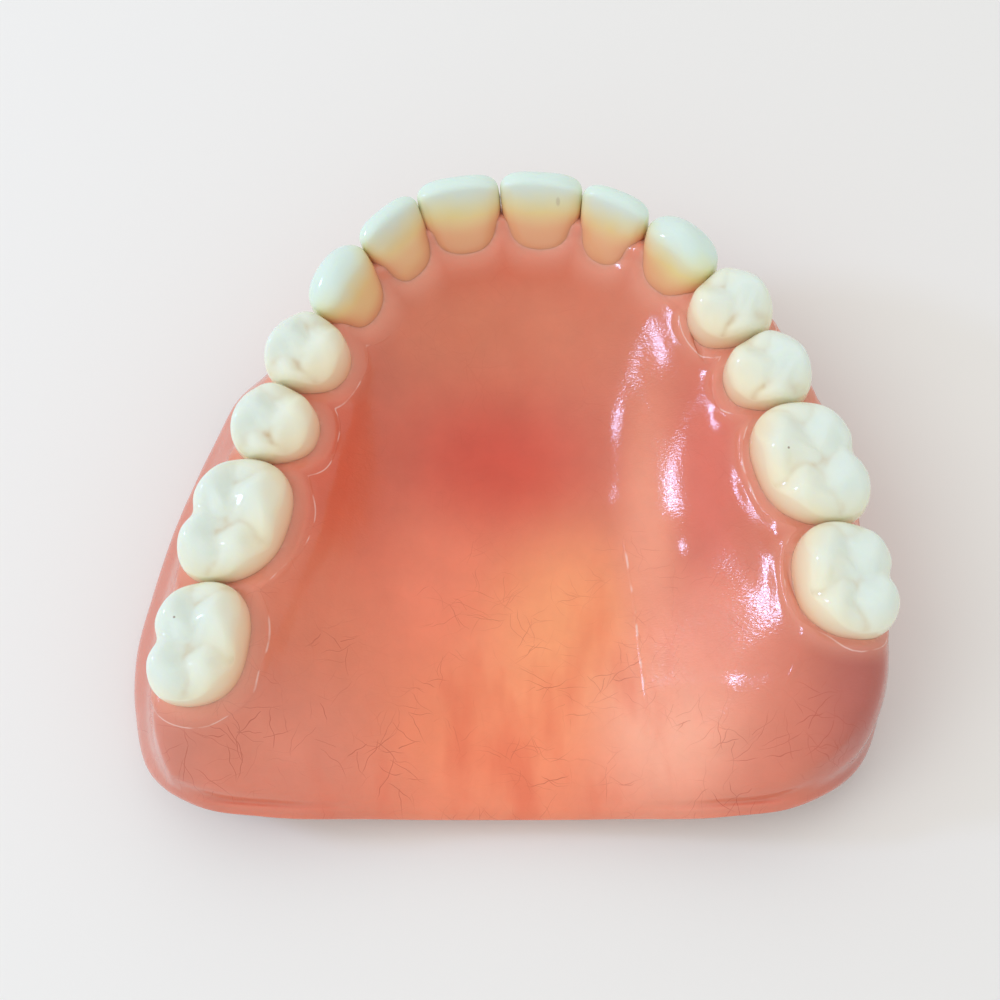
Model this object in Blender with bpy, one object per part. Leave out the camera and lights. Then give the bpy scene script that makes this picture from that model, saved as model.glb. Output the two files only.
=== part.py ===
"""Full upper denture: a moulded acrylic base that carries fourteen resin teeth.

Metres, +Z up. The denture lies teeth up on its flange border. The front (the
lips' side) points to -Y, the wearer's right to +X. Angles round the palate are
measured from the front midline, positive towards the wearer's right.
"""
import math

import bmesh
import bpy
import numpy as np

# Heights above the surface that the flange border rests on
OCCLUSAL_HEIGHT = 0.0198
PALATE_HEIGHT = 0.0052

# Walls of the base
PALATE_THICKNESS = 0.0022
FLANGE_THICKNESS = 0.0024
BORDER_THICKNESS = 0.0019
ROOF_THICKNESS = 0.0013

# Gum form round the teeth
COLLAR_WIDTH = 0.0007
LEDGE_WIDTH = 0.0012
LEDGE_DROP = 0.0008
PAPILLA_RISE = 0.0006
MARGIN_CURL = 0.0003
NECK_STEP = 0.0002
NECK_DROP = 0.0014
FLANGE_FULLNESS = 0.0008
FRONT_OVERHANG = 0.0030
SIDE_LEAN = 0.0013
BACK_INSET = 0.0036
BACK_STEP = 0.0006

# Thin gum that runs up the backs of the front teeth
FILM_RISE = 0.0009
FILM_LIFT = 0.0003
FILM_SPREAD = 0.00085
FILM_REACH = 0.20

# The vault: how steep it gets towards the teeth, and the angles over which it is evened out
VAULT_POWER = 2.3
EVEN_MIDDLE = 36.0
EVEN_RIM = 3.0

# Trough over the ridge on the fitting side
TROUGH_INSET = 0.0008
TROUGH_FALL = 0.0010
TROUGH_FOOT = 0.0024
TROUGH_EASE = 0.0004
PAD_THICKNESS = 0.0028

# Angles between which a form fades out, from the front midline
FRONT_FADE = (55.0, 85.0)
FILM_FADE = (26.0, 38.0)
TEETH_FADE = (108.0, 130.0)
RIDGE_FADE = (112.0, 152.0)
ARCH_END = 100.0

# Where the rings of the palate stand, as shares of the way to the gum ledge
PALATE_SHARES = [1.0, 0.90, 0.79, 0.66, 0.50, 0.32, 0.15]
FITTING_SHARES = [0.85, 0.68, 0.48, 0.26]

# Where the rings stand behind the ridge, as shares of the way to the border
BACK_PALATE_SHARE = 0.80
GUM_SHARES = [0.87, 0.89, 0.91, 0.93]
NECK_SHARE = 0.945
FLANGE_SHARE = 0.965
ROLL_SHARE = 0.985
INSIDE_SHARES = [0.93, 0.91, 0.89, 0.87, 0.84]

# How the gum's crest, the flange and the rolled border are shared out
CREST_IN = 0.45
CREST_OUT = 0.4
CREST_OUT_RISE = 0.6
ROLL_MIX = 0.2
ROLL_HEIGHT = 0.25
FLANGE_HEIGHT = 0.5
BORDER_UNDER = 0.35
BORDER_OVER = 0.6
INSIDE_HEIGHTS = [0.22, 0.58]

# How far the back edge is rounded down at those rings
NECK_ROUNDING = 0.00005
FLANGE_ROUNDING = 0.0002
ROLL_ROUNDING = 0.00055

# Notches in the border that clear the lip and cheek bands
LIP_NOTCH_DEPTH = 0.0036
LIP_NOTCH_SPREAD = 5.5
CHEEK_NOTCH_DEPTH = 0.0024
CHEEK_NOTCH_ANGLE = 52.0
CHEEK_NOTCH_SPREAD = 6.0
NOTCH_FLOOR = 0.0001

# Fit of the teeth
SOCKET_CLEARANCE = 0.0002
CONTACT_GAP = 0.00025
FOOT_RECESS = 0.0006
FOOT_RECESS_SHARE = 0.5
NECK_DEPTH_SHARE = 0.95
LEAN_AT_GUM = 0.8

# Middle of the palate, where every section of the base starts
PALATE_CENTRE = (0.0, 0.0080)

# Border of the base seen from above, from the front midline to the back midline
BORDER_OUTLINE = [
    (0.0000, -0.0262), (0.0075, -0.0256), (0.0140, -0.0230), (0.0195, -0.0187), (0.0243, -0.0140),
    (0.0280, -0.0088), (0.0312, -0.0015), (0.0334, 0.0072), (0.0344, 0.0138), (0.0337, 0.0192),
    (0.0311, 0.0243), (0.0262, 0.0274), (0.0200, 0.0283), (0.0100, 0.0284), (0.0000, 0.0284),
]

# Height of the border: angle from the front, height; below nought is a land that rests
BORDER_HEIGHTS = [
    (0, 0.0006), (14, 0.0003), (26, -0.0004), (42, -0.0004), (60, 0.0004), (76, -0.0004), (102, -0.0008),
    (110, 0.0004), (119, 0.0034), (127, 0.0056), (136, 0.0052), (148, 0.0038), (162, 0.0029), (180, 0.0026),
]

# Height of the polished side along the back edge: angle from the front, height
BACK_HEIGHTS = [
    (90, 0.0120), (112, 0.0112), (124, 0.0096), (136, 0.0074), (148, 0.0060), (162, 0.0051), (180, 0.0048),
]

# Line through the tooth contacts, from the front midline to behind the last molar
ARCH_RIGHT = [
    (-0.00095, -0.02660), (0.00670, -0.02525), (0.01180, -0.02080), (0.01565, -0.01425),
    (0.01855, -0.00760), (0.02045, -0.00090), (0.02340, 0.01000), (0.02450, 0.02020), (0.02220, 0.02760),
]
ARCH_LEFT = [
    (-0.00095, -0.02660), (-0.00860, -0.02560), (-0.01460, -0.02240), (-0.02010, -0.01760),
    (-0.02360, -0.01180), (-0.02590, -0.00530), (-0.02930, 0.00540), (-0.03040, 0.01500), (-0.02560, 0.02740),
]

# Sections of a crown from its edge to its foot: depth as a share of the foot's
# depth, then shares of the width, of the outward and of the inward depth
INCISOR_SECTIONS = [
    (0.00, 0.93, 0.80, 0.14), (0.07, 0.98, 0.94, 0.24), (0.25, 1.00, 1.00, 0.46),
    (0.50, 0.98, 0.98, 0.80), (0.72, 0.90, 0.84, 1.00), (1.00, 0.75, 0.50, 0.88),
]
CANINE_SECTIONS = [
    (0.00, 0.80, 0.72, 0.26), (0.10, 0.93, 0.90, 0.44), (0.27, 1.00, 1.00, 0.68),
    (0.50, 0.97, 0.98, 0.92), (0.72, 0.88, 0.88, 1.00), (1.00, 0.74, 0.58, 0.84),
]
MOLAR_SECTIONS = [
    (0.00, 0.82, 0.78, 0.78), (0.22, 0.95, 0.94, 0.93), (0.45, 1.00, 1.00, 1.00),
    (0.66, 0.97, 0.93, 0.97), (0.84, 0.91, 0.82, 0.90), (1.00, 0.83, 0.70, 0.82),
]

# Cusps: shares of the half width (distal is positive) and of the outward or
# inward depth, then the drop of the tip below the tooth's top
INCISOR_CUSPS = [(-0.62, 0.15, 0.00000), (0.00, 0.15, 0.00000), (0.50, 0.15, 0.00010)]
CANINE_CUSPS = [(-0.05, 0.15, 0.00000), (0.45, 0.0, 0.00075), (-0.50, 0.0, 0.00060)]
PREMOLAR_CUSPS = [(0.04, 0.52, 0.00000), (-0.14, -0.52, 0.00045), (-0.66, -0.02, 0.00095), (0.66, -0.10, 0.00100)]
MOLAR_CUSPS = [
    (-0.44, 0.56, 0.00000), (0.42, 0.58, 0.00010), (-0.24, -0.50, 0.00015), (0.60, -0.42, 0.00055),
    (-0.78, -0.02, 0.00095), (0.16, -0.02, 0.00105),
]

# Roundness of the cusps and of the valleys between them, and the spread of the
# groove on a molar's cheek side as a share of its width
CUSP_ROUNDING = 0.0006
FISSURE_ROUNDING = 0.00008
GROOVE_SPREAD = 0.10

# Tooth kinds in their order along the arch. top: tip above the occlusal plane;
# gum_out, gum_in and foot: depth below the tip of the gum line on the cheek
# side, of the gum line on the palate side and of the underside
TOOTH_KINDS = {
    "central_incisor": {
        "width": 0.00740, "outward": 0.0013, "inward": 0.0031, "top": 0.0004, "gum_out": 0.0092,
        "gum_in": 0.0060, "foot": 0.0098, "lean": 6.0, "skew": 0.0, "taper": 0.14, "square": 3.6,
        "groove": 0.0, "slope": 0.28, "sections": INCISOR_SECTIONS, "cusps": INCISOR_CUSPS,
    },
    "lateral_incisor": {
        "width": 0.00630, "outward": 0.0012, "inward": 0.0032, "top": 0.0002, "gum_out": 0.0086,
        "gum_in": 0.0056, "foot": 0.0094, "lean": 6.0, "skew": 0.0, "taper": 0.17, "square": 3.0,
        "groove": 0.0, "slope": 0.32, "sections": INCISOR_SECTIONS, "cusps": INCISOR_CUSPS,
    },
    "canine": {
        "width": 0.00712, "outward": 0.0021, "inward": 0.0032, "top": 0.0004, "gum_out": 0.0090,
        "gum_in": 0.0054, "foot": 0.0096, "lean": 4.0, "skew": 0.0, "taper": 0.18, "square": 2.6,
        "groove": 0.0, "slope": 0.45, "sections": CANINE_SECTIONS, "cusps": CANINE_CUSPS,
    },
    "first_premolar": {
        "width": 0.00662, "outward": 0.0026, "inward": 0.0044, "top": 0.0002, "gum_out": 0.0068,
        "gum_in": 0.0054, "foot": 0.0084, "lean": 0.0, "skew": 0.08, "taper": 0.12, "square": 2.3,
        "groove": 0.0, "slope": 0.55, "sections": MOLAR_SECTIONS, "cusps": PREMOLAR_CUSPS,
    },
    "second_premolar": {
        "width": 0.00664, "outward": 0.0028, "inward": 0.0044, "top": 0.0000, "gum_out": 0.0064,
        "gum_in": 0.0052, "foot": 0.0082, "lean": 0.0, "skew": 0.08, "taper": 0.12, "square": 2.3,
        "groove": 0.0, "slope": 0.55, "sections": MOLAR_SECTIONS, "cusps": PREMOLAR_CUSPS,
    },
    "first_molar": {
        "width": 0.01090, "outward": 0.0038, "inward": 0.0045, "top": 0.0000, "gum_out": 0.0062,
        "gum_in": 0.0052, "foot": 0.0082, "lean": 0.0, "skew": 0.22, "taper": 0.06, "square": 2.6,
        "groove": 0.0007, "slope": 0.50, "sections": MOLAR_SECTIONS, "cusps": MOLAR_CUSPS,
    },
    "second_molar": {
        "width": 0.00980, "outward": 0.0039, "inward": 0.0038, "top": -0.0003, "gum_out": 0.0058,
        "gum_in": 0.0050, "foot": 0.0080, "lean": 0.0, "skew": 0.18, "taper": 0.06, "square": 2.6,
        "groove": 0.0007, "slope": 0.50, "sections": MOLAR_SECTIONS, "cusps": MOLAR_CUSPS,
    },
}

# How single teeth differ from their kind: turn and lean in degrees, trim in width
TOOTH_SETTING = {
    "right_central_incisor": {"turn": -4.0},
    "left_central_incisor": {"turn": 2.0},
    "left_lateral_incisor": {"turn": 2.0},
    "right_first_premolar": {"trim": 0.0004},
    "right_second_premolar": {"trim": 0.0003},
    "right_first_molar": {"trim": 0.0001},
    "right_second_molar": {"trim": 0.0003},
    "left_first_molar": {"lean": 4.0},
    "left_second_molar": {"trim": -0.0004, "lean": 9.0},
}

# Fineness of the meshes
TOOTH_SEGMENTS = 20
CAP_SHARES = [0.80, 0.55, 0.28]
BASE_COLUMNS = 80

ACRYLIC_COLOUR = (0.78, 0.25, 0.19, 1.0)
RESIN_COLOUR = (0.86, 0.82, 0.66, 1.0)


def clear_scene():
    """Start from an empty scene."""
    for thing in list(bpy.data.objects):
        bpy.data.objects.remove(thing, do_unlink=True)


def make_material(name, colour, roughness):
    """One Principled material."""
    material = bpy.data.materials.new(name)
    material.use_nodes = True
    shader = material.node_tree.nodes["Principled BSDF"]
    shader.inputs["Base Color"].default_value = colour
    shader.inputs["Roughness"].default_value = roughness
    shader.inputs["Metallic"].default_value = 0.0
    material.diffuse_color = colour
    return material


def smooth_curve(places, values, wanted):
    """Cubic curve through the values, read at the wanted places."""
    places = np.asarray(places, float)
    values = np.asarray(values, float)
    slopes = np.gradient(values, places, axis=0)
    wanted = np.clip(wanted, places[0], places[-1])
    cell = np.clip(np.searchsorted(places, wanted, side="right") - 1, 0, len(places) - 2)
    span = places[cell + 1] - places[cell]
    t = (wanted - places[cell]) / span
    if values.ndim > 1:
        t = t[..., None]
        span = span[..., None]
    start = values[cell] * (2 * t ** 3 - 3 * t ** 2 + 1) + slopes[cell] * span * (t ** 3 - 2 * t ** 2 + t)
    end = values[cell + 1] * (3 * t ** 2 - 2 * t ** 3) + slopes[cell + 1] * span * (t ** 3 - t ** 2)
    return start + end


def fine_line(points, count=400):
    """The smooth line through a list of points, as many close points."""
    points = np.array(points, float)
    steps = np.linalg.norm(np.diff(points, axis=0), axis=1)
    places = np.concatenate([[0.0], np.cumsum(steps)])
    return smooth_curve(places, points, np.linspace(0.0, places[-1], count))


def side_teeth(side):
    """The seven teeth of one side, named, each with its own setting."""
    word = "right" if side > 0 else "left"
    teeth = {}
    for kind_name, kind in TOOTH_KINDS.items():
        name = word + "_" + kind_name
        tooth = {"turn": 0.0, "trim": 0.0, **kind, **TOOTH_SETTING.get(name, {})}
        tooth["width"] += tooth["trim"]
        teeth[name] = tooth
    return teeth


def tooth_places(arch, teeth):
    """Walk along the arch and give each tooth its middle and its mesial to distal direction."""
    line = fine_line(arch)
    places = []
    index = 0
    for kind in teeth.values():
        reach = np.linalg.norm(line[index:] - line[index], axis=1)
        step = int(np.argmax(reach >= kind["width"] + CONTACT_GAP))
        if step == 0:
            direction = (line[-1] - line[-2]) / np.linalg.norm(line[-1] - line[-2])
            end = line[index] + direction * (kind["width"] + CONTACT_GAP)
            step = len(line) - 1 - index
        else:
            end = line[index + step]
        chord = (end - line[index]) / np.linalg.norm(end - line[index])
        places.append(((line[index] + end) / 2, chord))
        index += step
    return places


def section_ring(kind, row, distal, grow):
    """One closed outline of a crown, as x (distal) and y (outward) arrays."""
    width_share, outward_share, inward_share = row[1:]
    half = kind["width"] / 2 * width_share + grow
    angles = np.arange(TOOTH_SEGMENTS) * 2 * math.pi / TOOTH_SEGMENTS
    power = 2.0 / kind["square"]
    across = np.sign(np.cos(angles)) * np.abs(np.cos(angles)) ** power
    deep = np.sign(np.sin(angles)) * np.abs(np.sin(angles)) ** power
    depth = np.where(deep > 0, kind["outward"] * outward_share + grow, kind["inward"] * inward_share + grow)
    y = deep * depth
    x = across * half
    groove = kind["groove"] * outward_share
    y = y - np.where(deep > 0, groove * np.exp(-((x / kind["width"]) / GROOVE_SPREAD) ** 2), 0.0)
    x = x * (1 + kind["taper"] * np.minimum(y, 0.0) / kind["inward"])
    x = x + kind["skew"] * y
    return x * distal, y


def relief(kind, x, y, distal):
    """Height of the chewing surface below the tooth's top."""
    heights = []
    for along, side, drop in kind["cusps"]:
        depth = kind["outward"] if side > 0 else kind["inward"]
        peak_y = side * depth
        peak_x = (along * kind["width"] / 2 + kind["skew"] * peak_y) * distal
        away = np.hypot(x - peak_x, y - peak_y)
        cone = kind["slope"] * (np.sqrt(away ** 2 + CUSP_ROUNDING ** 2) - CUSP_ROUNDING)
        heights.append(-drop - cone)
    heights = np.array(heights)
    top = heights.max(axis=0)
    return top + FISSURE_ROUNDING * np.log(np.exp((heights - top) / FISSURE_ROUNDING).sum(axis=0))


def crown_rings(kind, distal, grow):
    """Rings from the middle of the chewing surface down to the foot."""
    rim_x, rim_y = section_ring(kind, kind["sections"][0], distal, grow)
    rings = []
    for share in sorted(CAP_SHARES) + [1.0]:
        x = rim_x * share
        y = rim_y * share
        rings.append(np.stack([x, y, relief(kind, x, y, distal) + grow], axis=1))
    for row in kind["sections"][1:]:
        x, y = section_ring(kind, row, distal, grow)
        z = np.full(TOOTH_SEGMENTS, -row[0] * kind["foot"])
        rings.append(np.stack([x, y, z], axis=1))
    rings[-1][:, 2] -= grow
    x, y = section_ring(kind, kind["sections"][-1], distal, 0.0)
    middle_y = (y.max() + y.min()) / 2
    radius = np.hypot(x, y - middle_y)
    shrink = FOOT_RECESS_SHARE - grow / radius
    rings.append(np.stack([x * shrink, middle_y + (y - middle_y) * shrink, rings[-1][:, 2] + FOOT_RECESS], axis=1))
    return rings


def skin_rings(mesh, rings, closed_ends):
    """Join rings of points with faces; closed_ends are the two end points."""
    body = bmesh.new()
    loops = [[body.verts.new(point) for point in ring] for ring in rings]
    for upper, lower in zip(loops, loops[1:]):
        for i in range(len(upper)):
            j = (i + 1) % len(upper)
            body.faces.new((upper[i], lower[i], lower[j], upper[j]))
    for loop, end in ((loops[0], closed_ends[0]), (loops[-1], closed_ends[1])):
        point = body.verts.new(end)
        for i in range(len(loop)):
            body.faces.new((loop[i], loop[(i + 1) % len(loop)], point))
    bmesh.ops.recalc_face_normals(body, faces=body.faces)
    body.to_mesh(mesh)
    body.free()


def make_tooth(name, kind, place, side, prefix="", grow=0.0):
    """A crown at its place on the arch, larger all round by grow."""
    middle, chord = place
    outward = np.array([chord[1], -chord[0]]) * side
    distal = -side
    rings = crown_rings(kind, distal, grow)
    top = (0.0, 0.0, float(relief(kind, np.zeros(1), np.zeros(1), distal)[0]) + grow)
    foot = tuple(rings[-1].mean(axis=0))
    mesh = bpy.data.meshes.new(prefix + name)
    skin_rings(mesh, rings, (top, foot))
    tooth = bpy.data.objects.new(prefix + name, mesh)
    tooth.location = (middle[0], middle[1], OCCLUSAL_HEIGHT + kind["top"])
    heading = math.atan2(-outward[0], outward[1]) + math.radians(kind["turn"])
    tooth.rotation_euler = (-math.radians(kind["lean"]), 0.0, heading)
    bpy.context.scene.collection.objects.link(tooth)
    return tooth


def around_centre(points):
    """Angles from the front midline and distances, seen from the palate's middle."""
    x = points[:, 0] - PALATE_CENTRE[0]
    y = points[:, 1] - PALATE_CENTRE[1]
    return np.degrees(np.arctan2(x, -y)), np.hypot(x, y)


def border_radius(angles):
    """Distance of the border from the palate's middle."""
    at, away = around_centre(fine_line(BORDER_OUTLINE))
    return np.interp(np.abs(angles), at, away)


def border_angles(count):
    """Angles of points that stand evenly along the whole border."""
    line = fine_line(BORDER_OUTLINE)
    at = around_centre(line)[0]
    places = np.concatenate([[0.0], np.cumsum(np.linalg.norm(np.diff(line, axis=0), axis=1))])
    half = np.interp((np.arange(count // 2) + 0.5) * places[-1] / (count // 2), places, at)
    return np.concatenate([-half[::-1], half])


def border_height(angles):
    """Height of the border, with its notches, and nought on the resting lands."""
    keys = np.array(BORDER_HEIGHTS, float)
    turned = np.abs(angles)
    height = np.maximum(smooth_curve(keys[:, 0], keys[:, 1], turned), 0.0)
    lip = LIP_NOTCH_DEPTH * np.exp(-(turned / LIP_NOTCH_SPREAD) ** 2)
    cheek = CHEEK_NOTCH_DEPTH * np.exp(-((turned - CHEEK_NOTCH_ANGLE) / CHEEK_NOTCH_SPREAD) ** 2)
    return height + np.where(lip > NOTCH_FLOOR, lip, 0.0) + np.where(cheek > NOTCH_FLOOR, cheek, 0.0)


def arch_fields(angles, places):
    """Distances and heights that the gum takes from the teeth, at each angle."""
    rows = []
    for side in (1, -1):
        arch = ARCH_RIGHT if side > 0 else ARCH_LEFT
        for kind, (middle, chord) in places[side]:
            at = around_centre(middle[None, :])[0][0]
            tilt = math.tan(math.radians(kind["lean"])) * LEAN_AT_GUM
            top = OCCLUSAL_HEIGHT + kind["top"]
            outward = kind["outward"] * NECK_DEPTH_SHARE - tilt * kind["gum_out"]
            inward = kind["inward"] + tilt * kind["gum_in"]
            rows.append((at, outward, inward, top - kind["gum_out"], top - kind["gum_in"], top - kind["foot"]))
        last = rows[-1]
        end = around_centre(np.array(arch[-1:]))[0][0]
        rows.append((end,) + last[1:])
        rows.append((side * 180.0,) + last[1:])
    rows = np.array(sorted(rows))
    fields = [smooth_curve(rows[:, 0], rows[:, column], angles) for column in range(1, 6)]
    line = np.concatenate([fine_line(ARCH_LEFT)[::-1], fine_line(ARCH_RIGHT)[1:]])
    at, away = around_centre(line)
    order = np.argsort(at)
    radius = np.interp(angles, at[order], away[order])
    return [radius] + fields


def fade(angles, span):
    """One up to the start of the span of angles, nought behind its end."""
    start, end = span
    t = np.clip((end - np.abs(angles)) / (end - start), 0.0, 1.0)
    return t * t * (3 - 2 * t)


def soften(values, angles, spread):
    """Even out values round the palate's middle, over about the given angle."""
    gap = (angles[:, None] - angles[None, :] + 180.0) % 360.0 - 180.0
    weight = np.exp(-0.5 * (gap / spread) ** 2) * np.abs(np.gradient(angles))[None, :]
    return weight @ values / weight.sum(axis=1)


def base_profiles(angles, places):
    """Control points of the polished and of the fitting side at each angle."""
    radius, out, inn, gum_out, gum_in, foot = arch_fields(angles, places)
    border = border_radius(angles)
    radius = np.where(np.abs(angles) > ARCH_END, np.minimum(radius, border - BACK_INSET), radius)
    low = border_height(angles)
    ridge = fade(angles, RIDGE_FADE)
    crown = fade(angles, TEETH_FADE)
    front = fade(angles, FRONT_FADE)
    film = fade(angles, FILM_FADE)
    back = 1.0 - ridge

    # behind the last molar the ridge sinks to a low rounded pad
    keys = np.array(BACK_HEIGHTS)
    edge = smooth_curve(keys[:, 0], keys[:, 1], np.abs(angles))
    gum_out = gum_out * crown + (edge - BACK_STEP) * (1 - crown)
    gum_in = gum_in * crown + edge * (1 - crown)
    widest = border + FRONT_OVERHANG * front - SIDE_LEAN * (1 - front)
    margin_out = np.minimum(radius + out + COLLAR_WIDTH, widest)
    margin_in = radius - inn - COLLAR_WIDTH
    palate_edge = (margin_in - LEDGE_WIDTH) * ridge + border * BACK_PALATE_SHARE * back
    palate_rim = gum_in - LEDGE_DROP * crown

    def palate(share):
        spread = EVEN_MIDDLE * (1 - share) + EVEN_RIM
        rise = soften(palate_rim - PALATE_HEIGHT, angles, spread) * share ** VAULT_POWER
        return soften(palate_edge, angles, spread) * share, PALATE_HEIGHT + rise

    def under(share):
        r, z = palate(share)
        lean = VAULT_POWER * (z - PALATE_HEIGHT) / r
        return r, z - PALATE_THICKNESS * np.sqrt(1 + lean ** 2)

    def blend(r, z, back_share, back_drop=0.0):
        return r * ridge + border * back_share * back, z * ridge + (edge - back_drop) * back

    height = gum_out - low
    mid_radius = (border + margin_out) / 2 + FLANGE_FULLNESS * front
    top = np.maximum(gum_out, gum_in)
    roll_radius = border + (mid_radius - border) * ROLL_MIX + NECK_STEP
    crest_radius = radius - inn * (CREST_IN + FILM_REACH * film)
    polished = [
        (border - BORDER_THICKNESS * BORDER_UNDER, low),
        (border, low + BORDER_THICKNESS * BORDER_OVER),
        blend(roll_radius, low + height * ROLL_HEIGHT, ROLL_SHARE, ROLL_ROUNDING),
        blend(mid_radius, low + height * FLANGE_HEIGHT, FLANGE_SHARE, FLANGE_ROUNDING),
        blend(margin_out + NECK_STEP, gum_out - NECK_DROP, NECK_SHARE, NECK_ROUNDING),
        blend(margin_out - MARGIN_CURL, gum_out, GUM_SHARES[3]),
        blend(radius + out * CREST_OUT, top + PAPILLA_RISE * CREST_OUT_RISE, GUM_SHARES[2]),
        blend(crest_radius, top + PAPILLA_RISE + film * FILM_RISE, GUM_SHARES[1]),
        blend(margin_in + film * FILM_SPREAD, gum_in + film * FILM_LIFT, GUM_SHARES[0]),
    ]
    polished += [palate(share) for share in PALATE_SHARES]

    trough = (foot - ROOF_THICKNESS) * crown + (edge - PAD_THICKNESS) * (1 - crown)
    trough_out = np.minimum(margin_out - FLANGE_THICKNESS - TROUGH_INSET, radius + out)
    trough_in = margin_in + TROUGH_INSET
    depth = trough - low
    under_radius, under_height = under(1.0)
    flat = PALATE_THICKNESS
    inside = [
        (border - BORDER_THICKNESS, low),
        blend(border - FLANGE_THICKNESS - NECK_STEP, low + depth * INSIDE_HEIGHTS[0], INSIDE_SHARES[0], flat),
        blend(mid_radius - FLANGE_THICKNESS, low + depth * INSIDE_HEIGHTS[1], INSIDE_SHARES[1], flat),
        blend(trough_out, trough - TROUGH_FALL, INSIDE_SHARES[2], flat),
        blend((trough_out + trough_in) / 2, trough, INSIDE_SHARES[3], flat),
        blend(trough_in, trough - TROUGH_FALL, INSIDE_SHARES[4], flat),
        (under_radius + TROUGH_EASE * ridge, np.minimum(under_height, trough - TROUGH_FOOT * ridge)),
    ]
    inside += [under(share) for share in FITTING_SHARES]
    return polished, inside


def base_rings(angles, places):
    """Rings of the whole base: palate middle, out over the ridge, back inside."""
    polished, inside = base_profiles(angles, places)
    turn = np.radians(angles)
    rings = []
    for r, z in list(reversed(polished)) + inside:
        x = PALATE_CENTRE[0] + r * np.sin(turn)
        y = PALATE_CENTRE[1] - r * np.cos(turn)
        rings.append(np.stack([x, y, z + 0 * x], axis=1))
    return rings


def centre_over_origin(pieces):
    """Hang the pieces on one empty, and stand their box's middle over the origin."""
    bpy.context.view_layer.update()
    solid = [thing for thing in pieces if not thing.hide_render]
    points = np.array([thing.matrix_world @ vertex.co for thing in solid for vertex in thing.data.vertices])
    low = points.min(axis=0)
    high = points.max(axis=0)
    holder = bpy.data.objects.new("denture", None)
    holder.location = (-(low[0] + high[0]) / 2, -(low[1] + high[1]) / 2, -low[2])
    bpy.context.scene.collection.objects.link(holder)
    for thing in pieces:
        thing.parent = holder


def make_base(places, cutters):
    """The moulded base with its sockets."""
    angles = border_angles(BASE_COLUMNS)
    rings = base_rings(angles, places)
    top = (PALATE_CENTRE[0], PALATE_CENTRE[1], PALATE_HEIGHT)
    foot = (PALATE_CENTRE[0], PALATE_CENTRE[1], PALATE_HEIGHT - PALATE_THICKNESS)
    mesh = bpy.data.meshes.new("denture_base")
    skin_rings(mesh, rings, (top, foot))
    base = bpy.data.objects.new("denture_base", mesh)
    bpy.context.scene.collection.objects.link(base)
    for cutter in cutters:
        cut = base.modifiers.new(cutter.name, "BOOLEAN")
        cut.operation = "DIFFERENCE"
        cut.solver = "EXACT"
        cut.object = cutter
    return base


def finish(thing, material, sharp_angle):
    """Give a piece its material and smooth shading."""
    thing.data.materials.append(material)
    thing.data.shade_smooth()
    thing.data.set_sharp_from_angle(angle=math.radians(sharp_angle))


def build():
    """Make every piece of the denture."""
    clear_scene()
    acrylic = make_material("pink_acrylic", ACRYLIC_COLOUR, 0.18)
    resin = make_material("tooth_resin", RESIN_COLOUR, 0.22)
    places = {}
    pieces = []
    cutters = []
    for side, arch in ((1, ARCH_RIGHT), (-1, ARCH_LEFT)):
        teeth = side_teeth(side)
        spots = tooth_places(arch, teeth)
        places[side] = list(zip(teeth.values(), spots))
        for (name, kind), spot in zip(teeth.items(), spots):
            tooth = make_tooth(name, kind, spot, side)
            finish(tooth, resin, 50)
            pieces.append(tooth)
            cutter = make_tooth(name, kind, spot, side, "socket_", SOCKET_CLEARANCE)
            cutter.hide_render = True
            cutter.display_type = "WIRE"
            cutters.append(cutter)
    base = make_base(places, cutters)
    finish(base, acrylic, 45)
    centre_over_origin(pieces + cutters + [base])


build()
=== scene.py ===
# %% [markdown]
# # A full upper denture
# The object is a moulded plastic base that carries fourteen plastic teeth, seen from the
# palate side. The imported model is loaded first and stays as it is: every piece made here
# stands for one of its nodes and sits where that node sits.

# %% Load the frame
import math

import bmesh
import bpy
import numpy as np
from mathutils import Matrix, Vector, noise
from mathutils.bvhtree import BVHTree


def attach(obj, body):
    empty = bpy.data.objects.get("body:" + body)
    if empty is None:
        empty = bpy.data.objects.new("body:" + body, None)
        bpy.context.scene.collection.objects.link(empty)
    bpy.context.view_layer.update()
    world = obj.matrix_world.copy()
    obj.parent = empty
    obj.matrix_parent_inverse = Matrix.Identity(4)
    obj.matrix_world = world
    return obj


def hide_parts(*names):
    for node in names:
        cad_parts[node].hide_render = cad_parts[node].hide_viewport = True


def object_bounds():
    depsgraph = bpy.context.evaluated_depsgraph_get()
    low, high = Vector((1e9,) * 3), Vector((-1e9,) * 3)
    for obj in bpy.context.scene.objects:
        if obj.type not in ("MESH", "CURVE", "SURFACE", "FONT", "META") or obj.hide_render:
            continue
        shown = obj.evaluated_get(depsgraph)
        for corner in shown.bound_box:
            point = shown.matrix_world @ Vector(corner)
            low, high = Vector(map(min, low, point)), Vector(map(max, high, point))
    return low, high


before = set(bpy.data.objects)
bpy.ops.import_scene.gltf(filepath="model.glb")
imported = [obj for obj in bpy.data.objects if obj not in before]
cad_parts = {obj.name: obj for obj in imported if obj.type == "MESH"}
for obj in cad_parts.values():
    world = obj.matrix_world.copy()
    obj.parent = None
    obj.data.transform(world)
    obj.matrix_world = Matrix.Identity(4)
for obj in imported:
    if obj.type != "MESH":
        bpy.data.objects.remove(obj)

cad_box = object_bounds()
print("nodes in the frame:", len(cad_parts))

# %% [markdown]
# ## Small helpers
# Sizes are easier to read in millimetres, and colours as the hex values of a paint chart.
# Blender works in metres and in linear light, so two small functions turn them.

# %% Helpers for sizes, colours and nodes
MM = 0.001


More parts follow.
